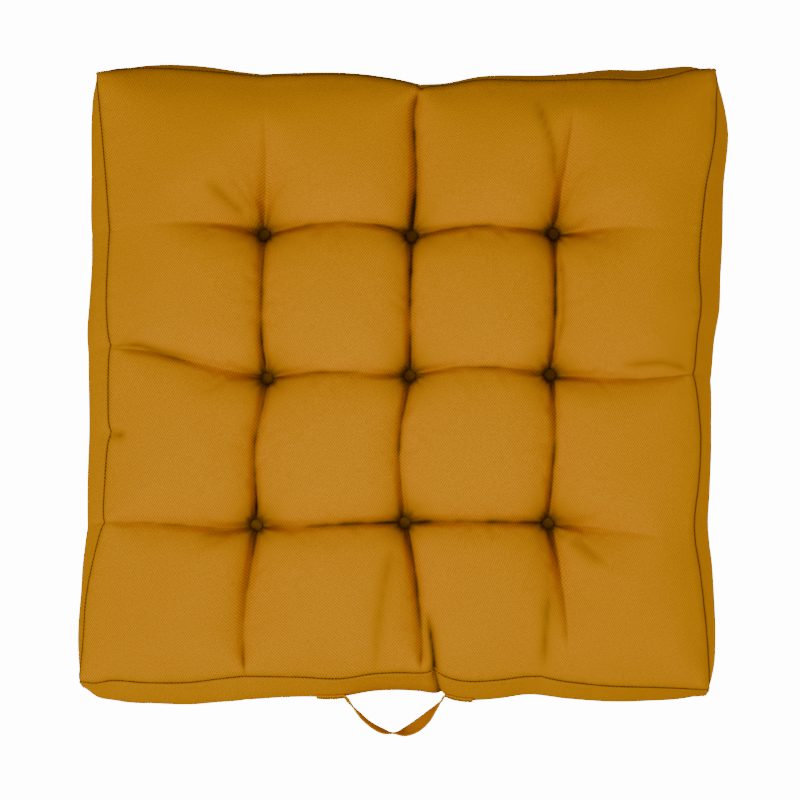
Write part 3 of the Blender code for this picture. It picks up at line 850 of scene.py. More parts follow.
def stitches(name, middles, directions, length, radius):
    """Make one mesh of short thread stitches at middles, each along its direction."""
    middles, directions = np.asarray(middles, float), np.asarray(directions, float)
    directions = directions / np.linalg.norm(directions, axis=1, keepdims=True)
    helper = np.where(np.abs(directions[:, 2:]) > 0.9, [[1.0, 0, 0]], [[0, 0, 1.0]])
    side = np.cross(directions, helper)
    side /= np.linalg.norm(side, axis=1, keepdims=True)
    up = np.cross(side, directions)
    points = []
    for share, girth in STITCH_RINGS:
        for angle in np.arange(STITCH_SIDES) * 2 * math.pi / STITCH_SIDES:
            spoke = math.cos(angle) * side + math.sin(angle) * up
            points.append(middles + share * length * directions + radius * girth * spoke)
    each = len(points)
    one = [face[::-1] for face in ring_faces(len(STITCH_RINGS), STITCH_SIDES)]
    faces = [[k * each + i for i in face] for k in range(len(middles)) for face in one]
    return new_object(name, np.stack(points, axis=1).reshape(-1, 3), faces)


def tube(path, radius, sides):
    """Return the points and faces of a closed tube along a path."""
    ahead = np.gradient(path, axis=0)
    ahead /= np.linalg.norm(ahead, axis=1, keepdims=True)
    side = np.cross(ahead[0], [0.37, 0.61, 0.7])
    rings = []
    for here, way in zip(path, ahead):
        side = side - (side @ way) * way
        side /= np.linalg.norm(side)
        up = np.cross(way, side)
        for angle in np.arange(sides) * 2 * math.pi / sides:
            rings.append(here + radius * (math.cos(angle) * side + math.sin(angle) * up))
    return np.array(rings), ring_faces(len(path), sides)


def joined(parts):
    """Put several (points, faces) together as one."""
    points, faces, first = [], [], 0
    for some, theirs in parts:
        points.append(some)
        faces += [[i + first for i in face] for face in theirs]
        first += len(some)
    return np.concatenate(points), faces


def turned(profile, sides, ripple=0.0, waves=0, start=0.0):
    """Spin (radius, height, share of ripple) rows round the Z axis into a closed solid."""
    angle = start + np.arange(sides) * 2 * math.pi / sides
    points = []
    for radius, height, share in profile:
        wave = ripple * share * (np.cos(waves * angle) + 0.4 * np.cos((waves - 5) * angle + 1))
        points += [(r * math.cos(a), r * math.sin(a), height) for r, a in zip(radius + wave, angle)]
    return np.array(points), ring_faces(len(profile), sides)


def run_along(path):
    """Return how far along a path each of its points lies."""
    steps = np.linalg.norm(np.diff(path, axis=0), axis=1)
    return np.concatenate([[0], np.cumsum(steps)])


def read_path(path, at):
    """Return the points that lie at given distances along a path."""
    run = run_along(path)
    return np.stack([np.interp(at, run, path[:, k]) for k in range(3)], axis=1)


# ---------------------------------------------------------------- cover

# The finest and coarsest steps of each grid, and how fast they grow away from creases.
TOP_GRADING = (0.85 * MM, 4.0 * MM, 0.15)
BOTTOM_GRADING = (1.6 * MM, 4.5 * MM, 0.1)
BORDER_GRADING = (1.0 * MM, 3.6 * MM, 0.18)
# The fold that the deepest tuck sends down the front border: its share along it, its lean,
# depth, half width and the strength of its painted shade.
FRONT_TUCK_SHARE = 0.523
BORDER_FOLD_LEAN = 0.13
BORDER_FOLD_DEPTH = 5 * MM
BORDER_FOLD_WIDTH = 3 * MM
BORDER_FOLD_SHADE = 0.9
CORNER_ROLL = 8 * MM
CORNER_FLAT = 5 * MM
UNDER_SHARE = 0.8
FLOOR_GAP = 0.3 * MM
FILLING_INSET = 9 * MM
FILLING_WELD = 0.3 * MM


def cushion_piece(piece, slot, *nodes):
    """Fix a piece to the cushion, with the finish it takes and the nodes it stands for."""
    piece.data.materials.append(MATERIALS[slot])
    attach(piece, "cushion")
    if nodes:
        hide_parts(*nodes)
    return piece


def cover_sheet(name, node, grid, cut, outward=1):
    """Make one sheet of the cover from its grid and its flat cut."""
    sheet = thick_sheet(name, grid, cut, outward)
    cushion_piece(sheet, "cover_canvas", node)


def make_top(swollen, shares):
    """Build the top panel, with its creases, folds and tucks."""
    cells = between_knots(CLOTH_CELL)
    grid = resampled(swollen, (cells, cells), shares, shares)
    out, drop, shade = panel_relief(grid[..., :2], shares, TOP_NET, TOP_RELIEF, FOLDS)
    grid = tuck(lifted(grid, out, drop))
    cover_sheet("cover_top", "top_panel", grid, flat_panel(shares, shade))


def make_bottom(swollen):
    """Build the bottom panel, flattened by the floor."""
    cells = between_knots(UNDER_CELL)
    shares = graded(KNOT_SHARES, *BOTTOM_GRADING, PANEL_CUT)
    grid = resampled(swollen[:, ::-1], (cells, cells), shares, shares)
    out, drop, shade = panel_relief(grid[..., :2], shares, BOTTOM_NET, UNDER_RELIEF, ())
    grid = lifted(grid, UNDER_SHARE * out, UNDER_SHARE * drop, -1)
    grid[..., 2] = np.maximum(grid[..., 2], FLOOR_GAP)
    cover_sheet("cover_bottom", "bottom_panel", grid, flat_panel(shares, shade), -1)


def make_border(side, swollen, shares):
    """Build one border, between the two panels' seams; return its grid."""
    number = SIDES.index(side)
    known = (border_shares(side, between_knots(CLOTH_CELL)), even(BORDER_CUT, CLOTH_CELL))
    shares = border_shares(side, shares)
    heights = graded((0.0, 1.0), *BORDER_GRADING, BORDER_CUT)
    grid = resampled(swollen, known, shares, heights)
    s, h = np.meshgrid(shares * PANEL_CUT, heights * BORDER_CUT, indexing="ij")
    to_top = BORDER_CUT - h
    edge = np.minimum(to_top, h)
    ends = np.minimum(s, PANEL_CUT - s)
    out = seam_ripple(s, to_top, 1 + number) + seam_ripple(s, h, 6 + number)
    out += shoulder(edge) * np.clip(ends / CORNER_ROLL, 0, 1)
    # Painted shade beside the seams, and down the front border's fold, fading out near the bottom
    # seam.
    shade = SEAM_SHADE * np.exp(-edge / SEAM_SHADE_REACH)
    if side == "front":
        off = s - FRONT_TUCK_SHARE * PANEL_CUT - BORDER_FOLD_LEAN * to_top
        along = np.sin(math.pi * h / BORDER_CUT) ** 0.5
        out -= BORDER_FOLD_DEPTH * vee(off, BORDER_FOLD_WIDTH) * along
        dark = BORDER_FOLD_SHADE * vee(off, 2.2 * MM) * (1 - np.exp(-h / (20 * MM)))
        shade = np.maximum(shade, dark)
    grid = tuck(lifted(grid, out * np.clip(ends / CORNER_FLAT, 0, 1)))
    cut = np.stack([s, h, shade], axis=-1)
    cover_sheet(f"cover_border_{side}", f"border_{side}", grid, cut)
    return grid


def make_filling(top, low, borders):
    """Build the closed body of fibre inside the cover."""
    cells, under = between_knots(CLOTH_CELL), between_knots(UNDER_CELL)
    low = resampled(low[:, ::-1], (under, under), cells, cells)
    grids = [top, low, *borders]
    parts = [(g.reshape(-1, 3), grid_faces(*g.shape[:2]).tolist()) for g in grids]
    points, faces = joined(parts)
    body = bmesh.new()
    corners = [body.verts.new(p) for p in points]
    for face in faces:
        body.faces.new([corners[i] for i in face])
    bmesh.ops.remove_doubles(body, verts=body.verts, dist=FILLING_WELD)
    bmesh.ops.recalc_face_normals(body, faces=body.faces)
    for _ in range(2):
        body.normal_update()
        inward = [(v, v.normal.copy()) for v in body.verts]
        for v, normal in inward:
            v.co -= normal * FILLING_INSET / 2
            v.co.z = max(v.co.z, CANVAS + 1 * MM)
    data = bpy.data.meshes.new("cushion_filling")
    body.to_mesh(data)
    body.free()
    data.shade_smooth()
    filling = bpy.data.objects.new("cushion_filling", data)
    bpy.context.scene.collection.objects.link(filling)
    cushion_piece(filling, "polyester_fibre", "filling")


STITCH_PITCH = 3.6 * MM
STITCH_LENGTH = 2.7 * MM
STITCH_RADIUS = 0.36 * MM


def seam_stitches(name, net, seam_z, lift, node):
    """Sew a row of stitches round a panel's seam."""
    middles, ways = [], []
    for side in SIDES:
        path = seam_curve(net, side, np.linspace(0, 1, 600))
        path = np.concatenate([path, np.full((len(path), 1), seam_z)], axis=1)
        if seam_z > CENTRE.z:
            path = tuck(path)
        at = np.arange(STITCH_PITCH / 2, run_along(path)[-1], STITCH_PITCH)
        here, ahead = read_path(path, at), read_path(path, at + 1 * MM)
        middles.append(here + STITCH_RADIUS * 1.1 * np.array([*OUTWARD[side], lift], float))
        ways.append(ahead - here)
    middles, ways = np.concatenate(middles), np.concatenate(ways)
    row = stitches(name, middles, ways, STITCH_LENGTH, STITCH_RADIUS)
    cushion_piece(row, "seam_thread", node)


def corner_stitches():
    """Sew the four upright seams where two borders meet."""
    middles, ways = [], []
    for j, i in ((0, 0), (0, 4), (4, 4), (4, 0)):
        low = np.array([*BOTTOM_NET.knots[j, i], BOTTOM_SEAM_Z])
        high = np.array([*TOP_NET.knots[j, i], TOP_SEAM_Z])
        out = np.array([np.sign(i - 2), np.sign(j - 2), 0.0])
        for share in np.arange(0.03, 0.98, STITCH_PITCH / np.linalg.norm(high - low)):
            middles.append(low + (high - low) * share + 0.4 * MM * out)
            ways.append(high - low)
    row = stitches("corner_seam_stitches", middles, ways, STITCH_LENGTH, STITCH_RADIUS)
    cushion_piece(row, "seam_thread")


# ---------------------------------------------------------------- buttons

# Half sections in mm: radius, height and how much of the gathers' ripple shows there.
CAP_PROFILE = (
    (4.3, 0.0, 1.2), (5.3, 0.25, 1.4), (5.85, 0.8, 1.1), (6.0, 1.4, 0.7), (5.8, 2.1, 0.3),
    (5.2, 2.85, 0.1), (4.2, 3.45, 0), (2.9, 3.8, 0), (1.5, 3.97, 0), (0.5, 4.0, 0),
)
BACK_PROFILE = ((4.9, -0.75, 0), (5.2, -0.6, 0), (5.2, -0.1, 0), (4.9, 0.05, 0))
CAP_GATHERS = 13
CAP_RIPPLE = 0.16 * MM
CAP_SIDES = 52
BACK_SIDES = 36
# The wire eye under each button's back, and the two plies of the twine that it holds.
EYE_RADIUS = 1.5 * MM
EYE_DROP = 2.3 * MM
EYE_TOP = 0.6 * MM
WIRE_RADIUS = 0.5 * MM
PLY_RADIUS = 0.36 * MM
PLY_OFFSET = 0.32 * MM
PLY_TURNS = 11


def in_metres(profile):
    """Turn a profile's rows of (radius, height, share) from mm into metres."""
    return [(radius * MM, height * MM, share) for radius, height, share in profile]


def button(row, column, top):
    """Build one covered button with its metal back and wire eye."""
    side = "top" if top else "under"
    low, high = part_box(f"{side}_button_cap_row{row}_col{column}")
    plan = tuft_place(row, column, top)
    seat, way = (low.z, 1) if top else (high.z, -1)
    # No two buttons are turned or tilted alike.
    turn = 0.9 * row + 0.55 * column + (0 if top else 0.4)
    lean = 0.05 * math.sin(3.1 * row + 1.9 * column)
    place = Matrix.Translation((*plan, seat))
    if not top:
        place = place @ Matrix.Rotation(math.pi, 4, "X")
    place = place @ Matrix.Rotation(lean, 4, "X") @ Matrix.Rotation(lean * 0.7, 4, "Y")
    points, faces = turned(in_metres(CAP_PROFILE), CAP_SIDES, CAP_RIPPLE, CAP_GATHERS, turn)
    places = points[:, :2] + 0.01 * row
    cap = new_object(f"button_{side}_row{row}_col{column}", points, faces, places)
    cap.matrix_world = place
    cushion_piece(cap, "button_canvas", f"{side}_button_cap_row{row}_col{column}")
    angle = np.linspace(0, math.pi, 15)
    eye = [EYE_RADIUS * np.cos(angle), 0 * angle, -EYE_TOP - EYE_DROP * np.sin(angle)]
    eye = tube(np.stack(eye, axis=1), WIRE_RADIUS, 8)
    points, faces = joined([turned(in_metres(BACK_PROFILE), BACK_SIDES), eye])
    shell = new_object(f"button_back_{side}_row{row}_col{column}", points, faces)
    shell.matrix_world = place
    cushion_piece(shell, "button_steel", f"{side}_button_back_row{row}_col{column}")
    return np.array([*plan, seat - way * EYE_DROP])


def twine(name, high, low):
    """Return an object of two plies twisted round the line between two buttons' eyes."""
    share = np.linspace(0, 1, 60)[:, None]
    core = high + (low - high) * share
    plies = []
    for phase in (0, math.pi):
        angle = share[:, 0] * 2 * math.pi * PLY_TURNS + phase
        coil = np.stack([np.cos(angle), np.sin(angle), 0 * angle], axis=1)
        plies.append(tube(core + PLY_OFFSET * coil, PLY_RADIUS, 7))
    return new_object(name, *joined(plies))


def make_buttons():
    """Build the buttons above and below, and the twine that draws each pair together."""
    for row in (1, 2, 3):
        for column in (1, 2, 3):
            place = f"row{row}_col{column}"
            ends = [button(row, column, top) for top in (True, False)]
            cushion_piece(twine(f"twine_{place}", *ends), "tufting_twine", f"tufting_twine_{place}")


# Loose ends of the twine, in mm from a button's middle, bent over its rim.
TAILS = (
    (1, 2, ((1.0, -5.4, 1.6), (1.6, -6.6, 1.0), (2.8, -7.6, 1.2), (4.0, -7.4, 2.2))),
    (2, 1, ((3.6, -4.4, 1.6), (4.6, -5.4, 1.0), (6.0, -5.8, 1.4), (7.2, -5.0, 2.6))),
    (3, 2, ((0.6, 5.6, 1.4), (0.8, 6.8, 1.2), (0.4, 8.8, 3.0), (0.9, 10.6, 5.2))),
)
TAIL_RADIUS = 0.28 * MM


def make_tails():
    """Add the short ends of twine that show beside three buttons."""
    parts = []
    for row, column, line in TAILS:
        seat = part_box(f"top_button_cap_row{row}_col{column}")[0].z
        knots = np.array(line) * MM
        share = np.linspace(0, len(knots) - 1, 13)
        path = np.stack([through(list(enumerate(knots[:, k])), share) for k in range(3)], axis=1)
        parts.append(tube(path + np.array([*tuft_place(row, column), seat]), TAIL_RADIUS, 6))
    tails = new_object("twine_ends", *joined(parts))
    cushion_piece(tails, "tufting_twine")


# ---------------------------------------------------------------- strap

HINGE = Vector(frame["joints"][0]["pos_m"])
FACE_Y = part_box("handle_tab_left")[1].y
STRAP_HALF_WIDTH = 11 * MM
STRAP_THICK = 2 * MM
STRAP_HALF_SPAN = 46.5 * MM
STRAP_REACH = 35.5 * MM
STRAP_TAB = 29 * MM
# The middle line lies this far in front of the border, and droops from this reach on.
STRAP_OFF = 1.3 * MM
STRAP_STIFF = 6 * MM
STRAP_GAP = 0.25 * MM
DROOP = math.radians(20)
# The loop's twist in degrees at shares of the way round it.
TWIST = ((0, -8), (0.2, -8), (0.38, -8), (0.49, -19), (0.6, 2), (0.76, 17), (0.9, 8), (1, -4))
# Half of the strap's section: a share of its half width, and the share of its thickness there.
SECTION = ((0, 0.72), (0.3, 0.72), (0.6, 0.74), (0.78, 0.8), (0.88, 1), (0.97, 0.85), (1, 0.45))
SECTION = (*((-width, thick) for width, thick in SECTION[:0:-1]), *SECTION)
# The stitching: how far across the strap it lies, and the length and radius of a stitch.
EDGE_LINE = 0.8
EDGE_PITCH = 3.2 * MM
EDGE_STITCH = (2.4 * MM, 0.3 * MM)
BOX_LINE = 0.62
BOX_PITCH = 2.9 * MM
BOX_STITCH = (2.3 * MM, 0.3 * MM)


def strap_path():
    """Return points 1 mm apart along the strap's middle line, from left to right."""
    turn = np.linspace(-1, 1, 241)
    x = HINGE.x + STRAP_HALF_SPAN * turn
    reach = STRAP_REACH * (1 - turn**2)
    face = FACE_Y - STRAP_OFF
    bent = np.clip(reach - STRAP_STIFF, 0, None)
    y = face - (reach - bent) - bent * math.cos(DROOP)
    loop = np.stack([x, y, HINGE.z - bent * math.sin(DROOP)], axis=1)
    tab = np.linspace(STRAP_TAB, 0.4 * MM, 30)
    left = np.stack([x[0] - tab, np.full(30, face), np.full(30, HINGE.z)], axis=1)
    right = left.copy()[::-1]
    right[:, 0] = 2 * HINGE.x - right[:, 0]
    path = np.concatenate([left, loop, right])
    path = read_path(path, np.arange(0, run_along(path)[-1], 1 * MM))
    for _ in range(14):
        path[1:-1] = (path[:-2] + 2 * path[1:-1] + path[2:]) / 4
    return path


class Strap:
    """The handle's shape: the grid of its middle face and the way that face looks."""

    def __init__(self, front):
        path = strap_path()
        self.count = len(path)
        self.widths, self.swell = np.array(SECTION).T
        ahead = np.gradient(path, axis=0)
        ahead /= np.linalg.norm(ahead, axis=1, keepdims=True)
        from_hinge = np.abs(path[:, 0] - HINGE.x)
        sewn = np.clip((from_hinge - STRAP_HALF_SPAN + 1 * MM) / (4 * MM), 0, 1)
        round_loop = (path[:, 0] - HINGE.x + STRAP_HALF_SPAN) / (2 * STRAP_HALF_SPAN)
        twist = np.radians(through(TWIST, np.clip(round_loop, 0, 1)))
        droop = DROOP * np.clip((FACE_Y - path[:, 1]) / (14 * MM) - 0.3, 0, 1)
        lean = (droop + twist) * (1 - sewn)
        upright = np.stack([0 * lean, -np.sin(lean), np.cos(lean)], axis=1)
        upright -= (upright * ahead).sum(axis=1, keepdims=True) * ahead
        upright /= np.linalg.norm(upright, axis=1, keepdims=True)
        self.face = np.cross(ahead, upright)
        across = STRAP_HALF_WIDTH * self.widths[None, :, None] * upright[:, None]
        self.grid = path[:, None] + across
        self.lay_on(front, sewn)

    def lay_on(self, front, sewn):
        """Lay the sewn ends flush on the front border."""
        faces = grid_faces(*front.shape[:2]).tolist()
        wall = BVHTree.FromPolygons(front.reshape(-1, 3).tolist(), faces)
        for i in np.flatnonzero(sewn > 0):
            for point in self.grid[i]:
                start = Vector((point[0], FACE_Y - 0.05, point[2]))
                hit = wall.ray_cast(start, Vector((0, 1, 0)))[0]
                if hit is not None:
                    point[1] += (hit.y - STRAP_THICK / 2 - STRAP_GAP - point[1]) * sewn[i]

    def solid(self):
        """Return the strap's points, faces and places on its flat cloth."""
        half = STRAP_THICK / 2 * self.swell[None, :, None] * self.face[:, None]
        points = np.concatenate([self.grid + half, (self.grid - half)[:, ::-1]], axis=1)
        across = np.concatenate([self.widths, self.widths[::-1]]) * STRAP_HALF_WIDTH
        places = np.meshgrid(np.arange(self.count) * MM, across, indexing="ij")
        faces = ring_faces(self.count, len(across))
        return points.reshape(-1, 3), faces, np.stack(places, axis=-1).reshape(-1, 2)

    def point(self, along, across, side):
        """Return a point on one face, at metres along the strap and a share across it."""
        i = np.clip(along / MM, 0, self.count - 1.001)
        line = self.grid[int(i)] * (1 - i % 1) + self.grid[int(i) + 1] * (i % 1)
        place = np.array([np.interp(across, self.widths, line[:, c]) for c in range(3)])
        thick = STRAP_THICK / 2 * np.interp(across, self.widths, self.swell)
        return place + side * thick * self.face[int(i)]

    def edge_stitches(self):
        """Return a row of stitches along both edges, on both faces."""
        middles, ways = [], []
        for side in (1, -1):
            for across in (-EDGE_LINE, EDGE_LINE):
                for along in np.arange(1.5 * MM, (self.count - 2) * MM, EDGE_PITCH):
                    first, centre, last = (
                        self.point(along + step * MM, across, side) for step in (0, 1.1, 2.2)
                    )
                    middles.append(centre)
                    ways.append(last - first)
        return stitches("strap_edge_stitches", middles, ways, *EDGE_STITCH)

    def box_stitches(self, name, start, stop):
        """Return a box of stitches with a cross in it, between two places along the strap."""
        low, high = -BOX_LINE, BOX_LINE
        corners = [(start, low), (stop, low), (stop, high), (start, high), (start, low)]
        corners += [(stop, high), (stop, low), (start, high)]
        middles, ways = [], []
        for (a, p), (b, q) in zip(corners, corners[1:]):
            length = math.hypot((b - a) * MM, (q - p) * STRAP_HALF_WIDTH)
            steps = max(2, round(length / BOX_PITCH))
            for k in range(steps):
                first, last = (
                    self.point((a + (b - a) * share) * MM, p + (q - p) * share, 1)
                    for share in ((k + 0.1) / steps, (k + 0.9) / steps)
                )
                middles.append((first + last) / 2)
                ways.append(last - first)
        return stitches(f"strap_box_stitches_{name}", middles, ways, *BOX_STITCH)


def make_strap(front):
    """Build the handle: a folded strap sewn down at both ends, with its stitching."""
    shape = Strap(front)
    strap = new_object("strap", *shape.solid())
    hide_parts("handle_tab_left", "handle_tab_right", "handle_loop")
    edge = shape.edge_stitches()
    for name, start, stop in (("left", 3, 25), ("right", shape.count - 26, shape.count - 4)):
        box = shape.box_stitches(name, start, stop)
        cushion_piece(box, "seam_thread", f"handle_stitching_{name}")
    for piece, slot in ((strap, "strap_canvas"), (edge, "seam_thread")):
        piece.data.materials.append(MATERIALS[slot])
        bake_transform(piece)


# ---------------------------------------------------------------- materials


class Shader:
    """A material's node tree, with short ways to add its nodes."""

    def __init__(self, name, roughness, metallic=0.0):
        self.material = bpy.data.materials.new(name)
        self.material.use_nodes = True
        self.tree = self.material.node_tree
        self.surface = self.tree.nodes["Principled BSDF"]
        self.surface.inputs["Roughness"].default_value = roughness
        self.surface.inputs["Metallic"].default_value = metallic
        self.surface.inputs["Specular IOR Level"].default_value = 0.5 if metallic else 0.0

    def plug(self, value, socket):
        """Link an output to a socket, or set the socket to a constant."""
        if isinstance(value, bpy.types.NodeSocket):
            self.tree.links.new(value, socket)
        else:
            socket.default_value = value

    def maths(self, operation, *values):
        """Add a Math node."""
        node = self.tree.nodes.new("ShaderNodeMath")
        node.operation = operation
        for value, socket in zip(values, node.inputs):
            self.plug(value, socket)
        return node.outputs[0]

    def place(self):
        """Return the point's place on the flat cloth, in metres."""
        node = self.tree.nodes.new("ShaderNodeAttribute")
        node.attribute_name = "cloth_place"
        return node.outputs["Vector"]

    def spot(self):
        """Return the point's place on its object, in metres."""
        return self.tree.nodes.new("ShaderNodeTexCoord").outputs["Object"]

    def shade(self):
        """Return how much painted shade darkens the point, from 0 to 1."""
        node = self.tree.nodes.new("ShaderNodeSeparateXYZ")
        self.plug(self.place(), node.inputs[0])
        return node.outputs["Z"]

    def along(self, vector, direction):
        """Return how far a place lies along a direction."""
        node = self.tree.nodes.new("ShaderNodeVectorMath")
        node.operation = "DOT_PRODUCT"
        self.plug(vector, node.inputs[0])
        self.plug(direction, node.inputs[1])
        return node.outputs["Value"]

    def noise(self, vector, scale, detail=3.0, roughness=0.5):
        """Add a noise texture and return its value, around a half."""
        node = self.tree.nodes.new("ShaderNodeTexNoise")
        self.plug(vector, node.inputs["Vector"])
        node.inputs["Scale"].default_value = scale
        node.inputs["Detail"].default_value = detail
        node.inputs["Roughness"].default_value = roughness
        return node.outputs["Fac"]

    def ramp(self, value, low, high):
        """Spread a value between low and high over 0 to 1."""
        node = self.tree.nodes.new("ShaderNodeMapRange")
        for number, entry in zip((0, 1, 2), (value, low, high)):
            self.plug(entry, node.inputs[number])
        return node.outputs["Result"]

    def mix(self, share, first, second):
        """Mix two colours."""
        node = self.tree.nodes.new("ShaderNodeMix")
        node.data_type = "RGBA"
        for name, entry in (("Factor_Float", share), ("A_Color", first), ("B_Color", second)):
            socket = next(s for s in node.inputs if s.identifier == name)
            self.plug((*entry, 1.0) if isinstance(entry, tuple) else entry, socket)
        return next(s for s in node.outputs if s.identifier == "Result_Color")

    def bump(self, height, strength, distance):
        """Add bumps to the surface, distance being their height in metres."""
        node = self.tree.nodes.new("ShaderNodeBump")
        node.inputs["Strength"].default_value = strength
        node.inputs["Distance"].default_value = distance
        self.plug(height, node.inputs["Height"])
        self.tree.links.new(node.outputs["Normal"], self.surface.inputs["Normal"])

    def colour(self, value):
        """Set the base colour."""
        value = (*value, 1.0) if isinstance(value, tuple) else value
        self.plug(value, self.surface.inputs["Base Color"])

    def sheen(self, weight, roughness, tint):
        """Add a soft cloth sheen."""
        self.surface.inputs["Sheen Weight"].default_value = weight
        self.surface.inputs["Sheen Roughness"].default_value = roughness
        self.surface.inputs["Sheen Tint"].default_value = (*tint, 1.0)


# The weave's two sets of ribs: the way each runs and its width in pitches.
TWILL_RIBS = ((math.radians(58), 1.0), (math.radians(-49), 1.06))
# Painted shade's colour in creases, dimples and seams: shares of the dark colour's red and green,
# and its blue.
PAINTED_SHADE_SHARES = (0.11, 0.15)
PAINTED_SHADE_BLUE = 0.001


def twill(name, pale, dark, pitch):
    """Make a cotton twill: slanted ridges of short floats, with slubs and faint fading; painted
    shade from the mesh darkens its creases, dimples and seams.
    """
    shader = Shader(name, 0.88)
    place = shader.place()
    slub = shader.maths("MULTIPLY", shader.noise(place, 900.0, 2.0), 1.6)
    ribs = []
    for angle, width in TWILL_RIBS:
        over = (-math.sin(angle), math.cos(angle), 0.0)
        turn = shader.maths("MULTIPLY", shader.along(place, over), 2 * math.pi / (width * pitch))
        ribs.append(shader.maths("SINE", shader.maths("ADD", turn, slub)))
    weave = shader.maths("MULTIPLY_ADD", ribs[1], 0.8, ribs[0])
    tone = shader.ramp(weave, -1.7, 1.7)
    fade = shader.ramp(shader.noise(place, 14.0, 4.0, 0.6), 0.3, 0.7)
    speck = shader.ramp(shader.noise(place, 420.0, 3.0, 0.7), 0.3, 0.7)
    share = shader.maths("MULTIPLY", tone, 0.66)
    share = shader.maths("MULTIPLY_ADD", fade, 0.06, share)
    share = shader.maths("MULTIPLY_ADD", speck, 0.28, share)
    # Painted shade: the colour is mixed towards a near-black brown by the mesh's painted shade
    # value.
    deep = (PAINTED_SHADE_SHARES[0] * dark[0], PAINTED_SHADE_SHARES[1] * dark[1], PAINTED_SHADE_BLUE)
    shader.colour(shader.mix(shader.shade(), shader.mix(share, dark, pale), deep))
    shader.bump(shader.maths("MULTIPLY_ADD", speck, 0.6, weave), 0.35, 0.16 * MM)
    return shader.material


def thread(name, pale, dark, scale):
    """Make spun thread, a little uneven in colour."""
    shader = Shader(name, 0.62)
    spun = shader.noise(shader.spot(), scale, 3.0, 0.6)
    shader.colour(shader.mix(shader.ramp(spun, 0.3, 0.7), dark, pale))
    shader.bump(spun, 0.4, 0.1 * MM)
    shader.sheen(0.2, 0.5, pale)
    return shader.material


def fibre():
    """Make the white polyester fibre of the filling."""
    shader = Shader("polyester_fibre_look", 0.95)
    curl = shader.noise(shader.spot(), 160.0, 6.0, 0.7)
    shader.colour(shader.mix(curl, (0.66, 0.65, 0.62), (0.86, 0.86, 0.84)))
    shader.bump(curl, 0.8, 1.2 * MM)
    shader.sheen(0.3, 0.5, (0.9, 0.9, 0.9))
    return shader.material


def steel():
    """Make plated steel sheet and wire, lightly brushed and tarnished."""
    shader = Shader("button_steel_look", 0.34, 1.0)
    spot = shader.spot()
    brush = shader.noise(spot, 1400.0, 2.0, 0.6)
    stain = shader.ramp(shader.noise(spot, 180.0, 4.0, 0.6), 0.35, 0.75)
    shader.colour(shader.mix(stain, (0.62, 0.61, 0.58), (0.42, 0.40, 0.36)))
    shader.plug(shader.ramp(brush, -0.4, 2.2), shader.surface.inputs["Roughness"])
    shader.bump(brush, 0.2, 0.02 * MM)
    return shader.material


# Each cloth's or thread's pale and dark colours, and its pitch or the scale of its fibres.
COVER_LOOK = ((0.88, 0.34, 0.0), (0.42, 0.148, 0.0), 2.05 * MM)
STRAP_LOOK = ((0.8, 0.31, 0.0), (0.42, 0.15, 0.0), 2.0 * MM)
# The buttons are covered in the cover's canvas; their colours are darker to paint the shade of the
# dimples they sit in.
SHADED_BUTTON_LOOK = ((0.235, 0.096, 0.0), (0.11, 0.042, 0.0), 1.6 * MM)
SEAM_LOOK = ((0.26, 0.1, 0.002), (0.14, 0.05, 0.001), 2500.0)
TWINE_LOOK = ((0.5, 0.33, 0.12), (0.3, 0.18, 0.05), 1800.0)
MATERIALS = {
    "cover_canvas": twill("cover_canvas_look", *COVER_LOOK),
    "strap_canvas": twill("strap_canvas_look", *STRAP_LOOK),
    "button_canvas": twill("button_canvas_shaded_look", *SHADED_BUTTON_LOOK),
    "seam_thread": thread("seam_thread_look", *SEAM_LOOK),
    "tufting_twine": thread("tufting_twine_look", *TWINE_LOOK),
    "polyester_fibre": fibre(),
    "button_steel": steel(),
}

# ---------------------------------------------------------------- putting it together

top_grid, low_grid, *border_grids = simulate()
top_shares = graded(sorted([*KNOT_SHARES, FRONT_TUCK_SHARE]), *TOP_GRADING, PANEL_CUT)
make_top(top_grid, top_shares)
make_bottom(low_grid)
borders = [make_border(side, grid, top_shares) for side, grid in zip(SIDES, border_grids)]
make_filling(top_grid, low_grid, border_grids)
seam_stitches("top_seam_stitches", TOP_NET, TOP_SEAM_Z, 0.8, "top_seam_thread")
seam_stitches("bottom_seam_stitches", BOTTOM_NET, BOTTOM_SEAM_Z, -0.8, "bottom_seam_thread")
corner_stitches()
make_buttons()
make_tails()
make_strap(borders[0])

# ---------------------------------------------------------------- floor, light and camera

FLOOR_HALF = 6.0
FLOOR_GLOW = 14.0
SKY = 0.25
# Each lamp's name, place, size and power.
LAMPS = (
    ("softbox", (0.0, -0.05, 0.7), 0.3, 1.15),
    ("key_softbox", (-1.7, -1.2, 2.6), 1.0, 62.0),
    ("fill_softbox", (1.8, -0.3, 0.7), 1.0, 10.0),
)
LAMPS_AIM = (0.0, 0.0, 0.05)
SENSOR = 36.0
CAMERA_DISTANCE = 5.0
CAMERA_TILT = math.radians(4)
CAMERA_AIM = Vector((CENTRE.x - 1 * MM, CENTRE.y - 15 * MM, 0.05))
VIEW_WIDTH = 0.773


def aimed(thing, place, at):
    """Place a lamp or camera and turn it to look at a point."""
    thing.location = place
    thing.rotation_euler = (Vector(at) - Vector(place)).to_track_quat("-Z", "Y").to_euler()
    bpy.context.scene.collection.objects.link(thing)


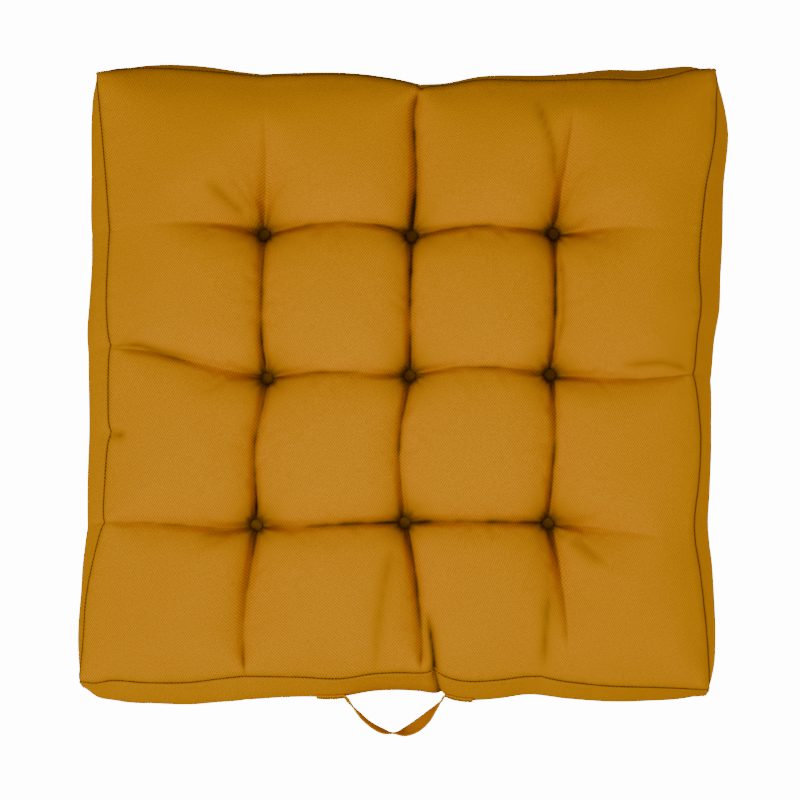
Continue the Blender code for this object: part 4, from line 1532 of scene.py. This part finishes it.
def lay_floor():
    """Lay a white floor, which looks bright to the camera and plain to the cushion."""
    data = bpy.data.meshes.new("floor")
    corners = [(x * FLOOR_HALF, y * FLOOR_HALF, 0) for x, y in ((-1, -1), (1, -1), (1, 1), (-1, 1))]
    data.from_pydata(corners, [], [(0, 1, 2, 3)])
    floor = bpy.data.objects.new("floor", data)
    bpy.context.scene.collection.objects.link(floor)
    paint = bpy.data.materials.new("floor_paint")
    paint.use_nodes = True
    tree = paint.node_tree
    surface = tree.nodes["Principled BSDF"]
    surface.inputs["Base Color"].default_value = (0.9, 0.9, 0.9, 1)
    surface.inputs["Roughness"].default_value = 0.9
    glow = tree.nodes.new("ShaderNodeEmission")
    glow.inputs["Strength"].default_value = FLOOR_GLOW
    seen = tree.nodes.new("ShaderNodeLightPath")
    either = tree.nodes.new("ShaderNodeMixShader")
    tree.links.new(seen.outputs["Is Camera Ray"], either.inputs["Fac"])
    tree.links.new(surface.outputs["BSDF"], either.inputs[1])
    tree.links.new(glow.outputs["Emission"], either.inputs[2])
    tree.links.new(either.outputs["Shader"], tree.nodes["Material Output"].inputs["Surface"])
    data.materials.append(paint)


def light_up():
    """Add a pale sky and the soft lamps."""
    world = bpy.data.worlds.new("studio")
    world.use_nodes = True
    sky = world.node_tree.nodes["Background"]
    sky.inputs["Color"].default_value = (1, 1, 1, 1)
    sky.inputs["Strength"].default_value = SKY
    bpy.context.scene.world = world
    for name, place, size, power in LAMPS:
        lamp = bpy.data.lights.new(name, "AREA")
        lamp.energy, lamp.size = power, size
        aimed(bpy.data.objects.new(name, lamp), place, LAMPS_AIM)


def set_camera():
    """Look down on the cushion, a little from its front."""
    view = bpy.data.cameras.new("camera")
    view.sensor_width = SENSOR
    view.lens = SENSOR * CAMERA_DISTANCE / VIEW_WIDTH
    way = Vector((0, -math.sin(CAMERA_TILT), math.cos(CAMERA_TILT)))
    camera = bpy.data.objects.new("camera", view)
    aimed(camera, CAMERA_AIM + CAMERA_DISTANCE * way, CAMERA_AIM)
    bpy.context.scene.camera = camera


lay_floor()
light_up()
set_camera()
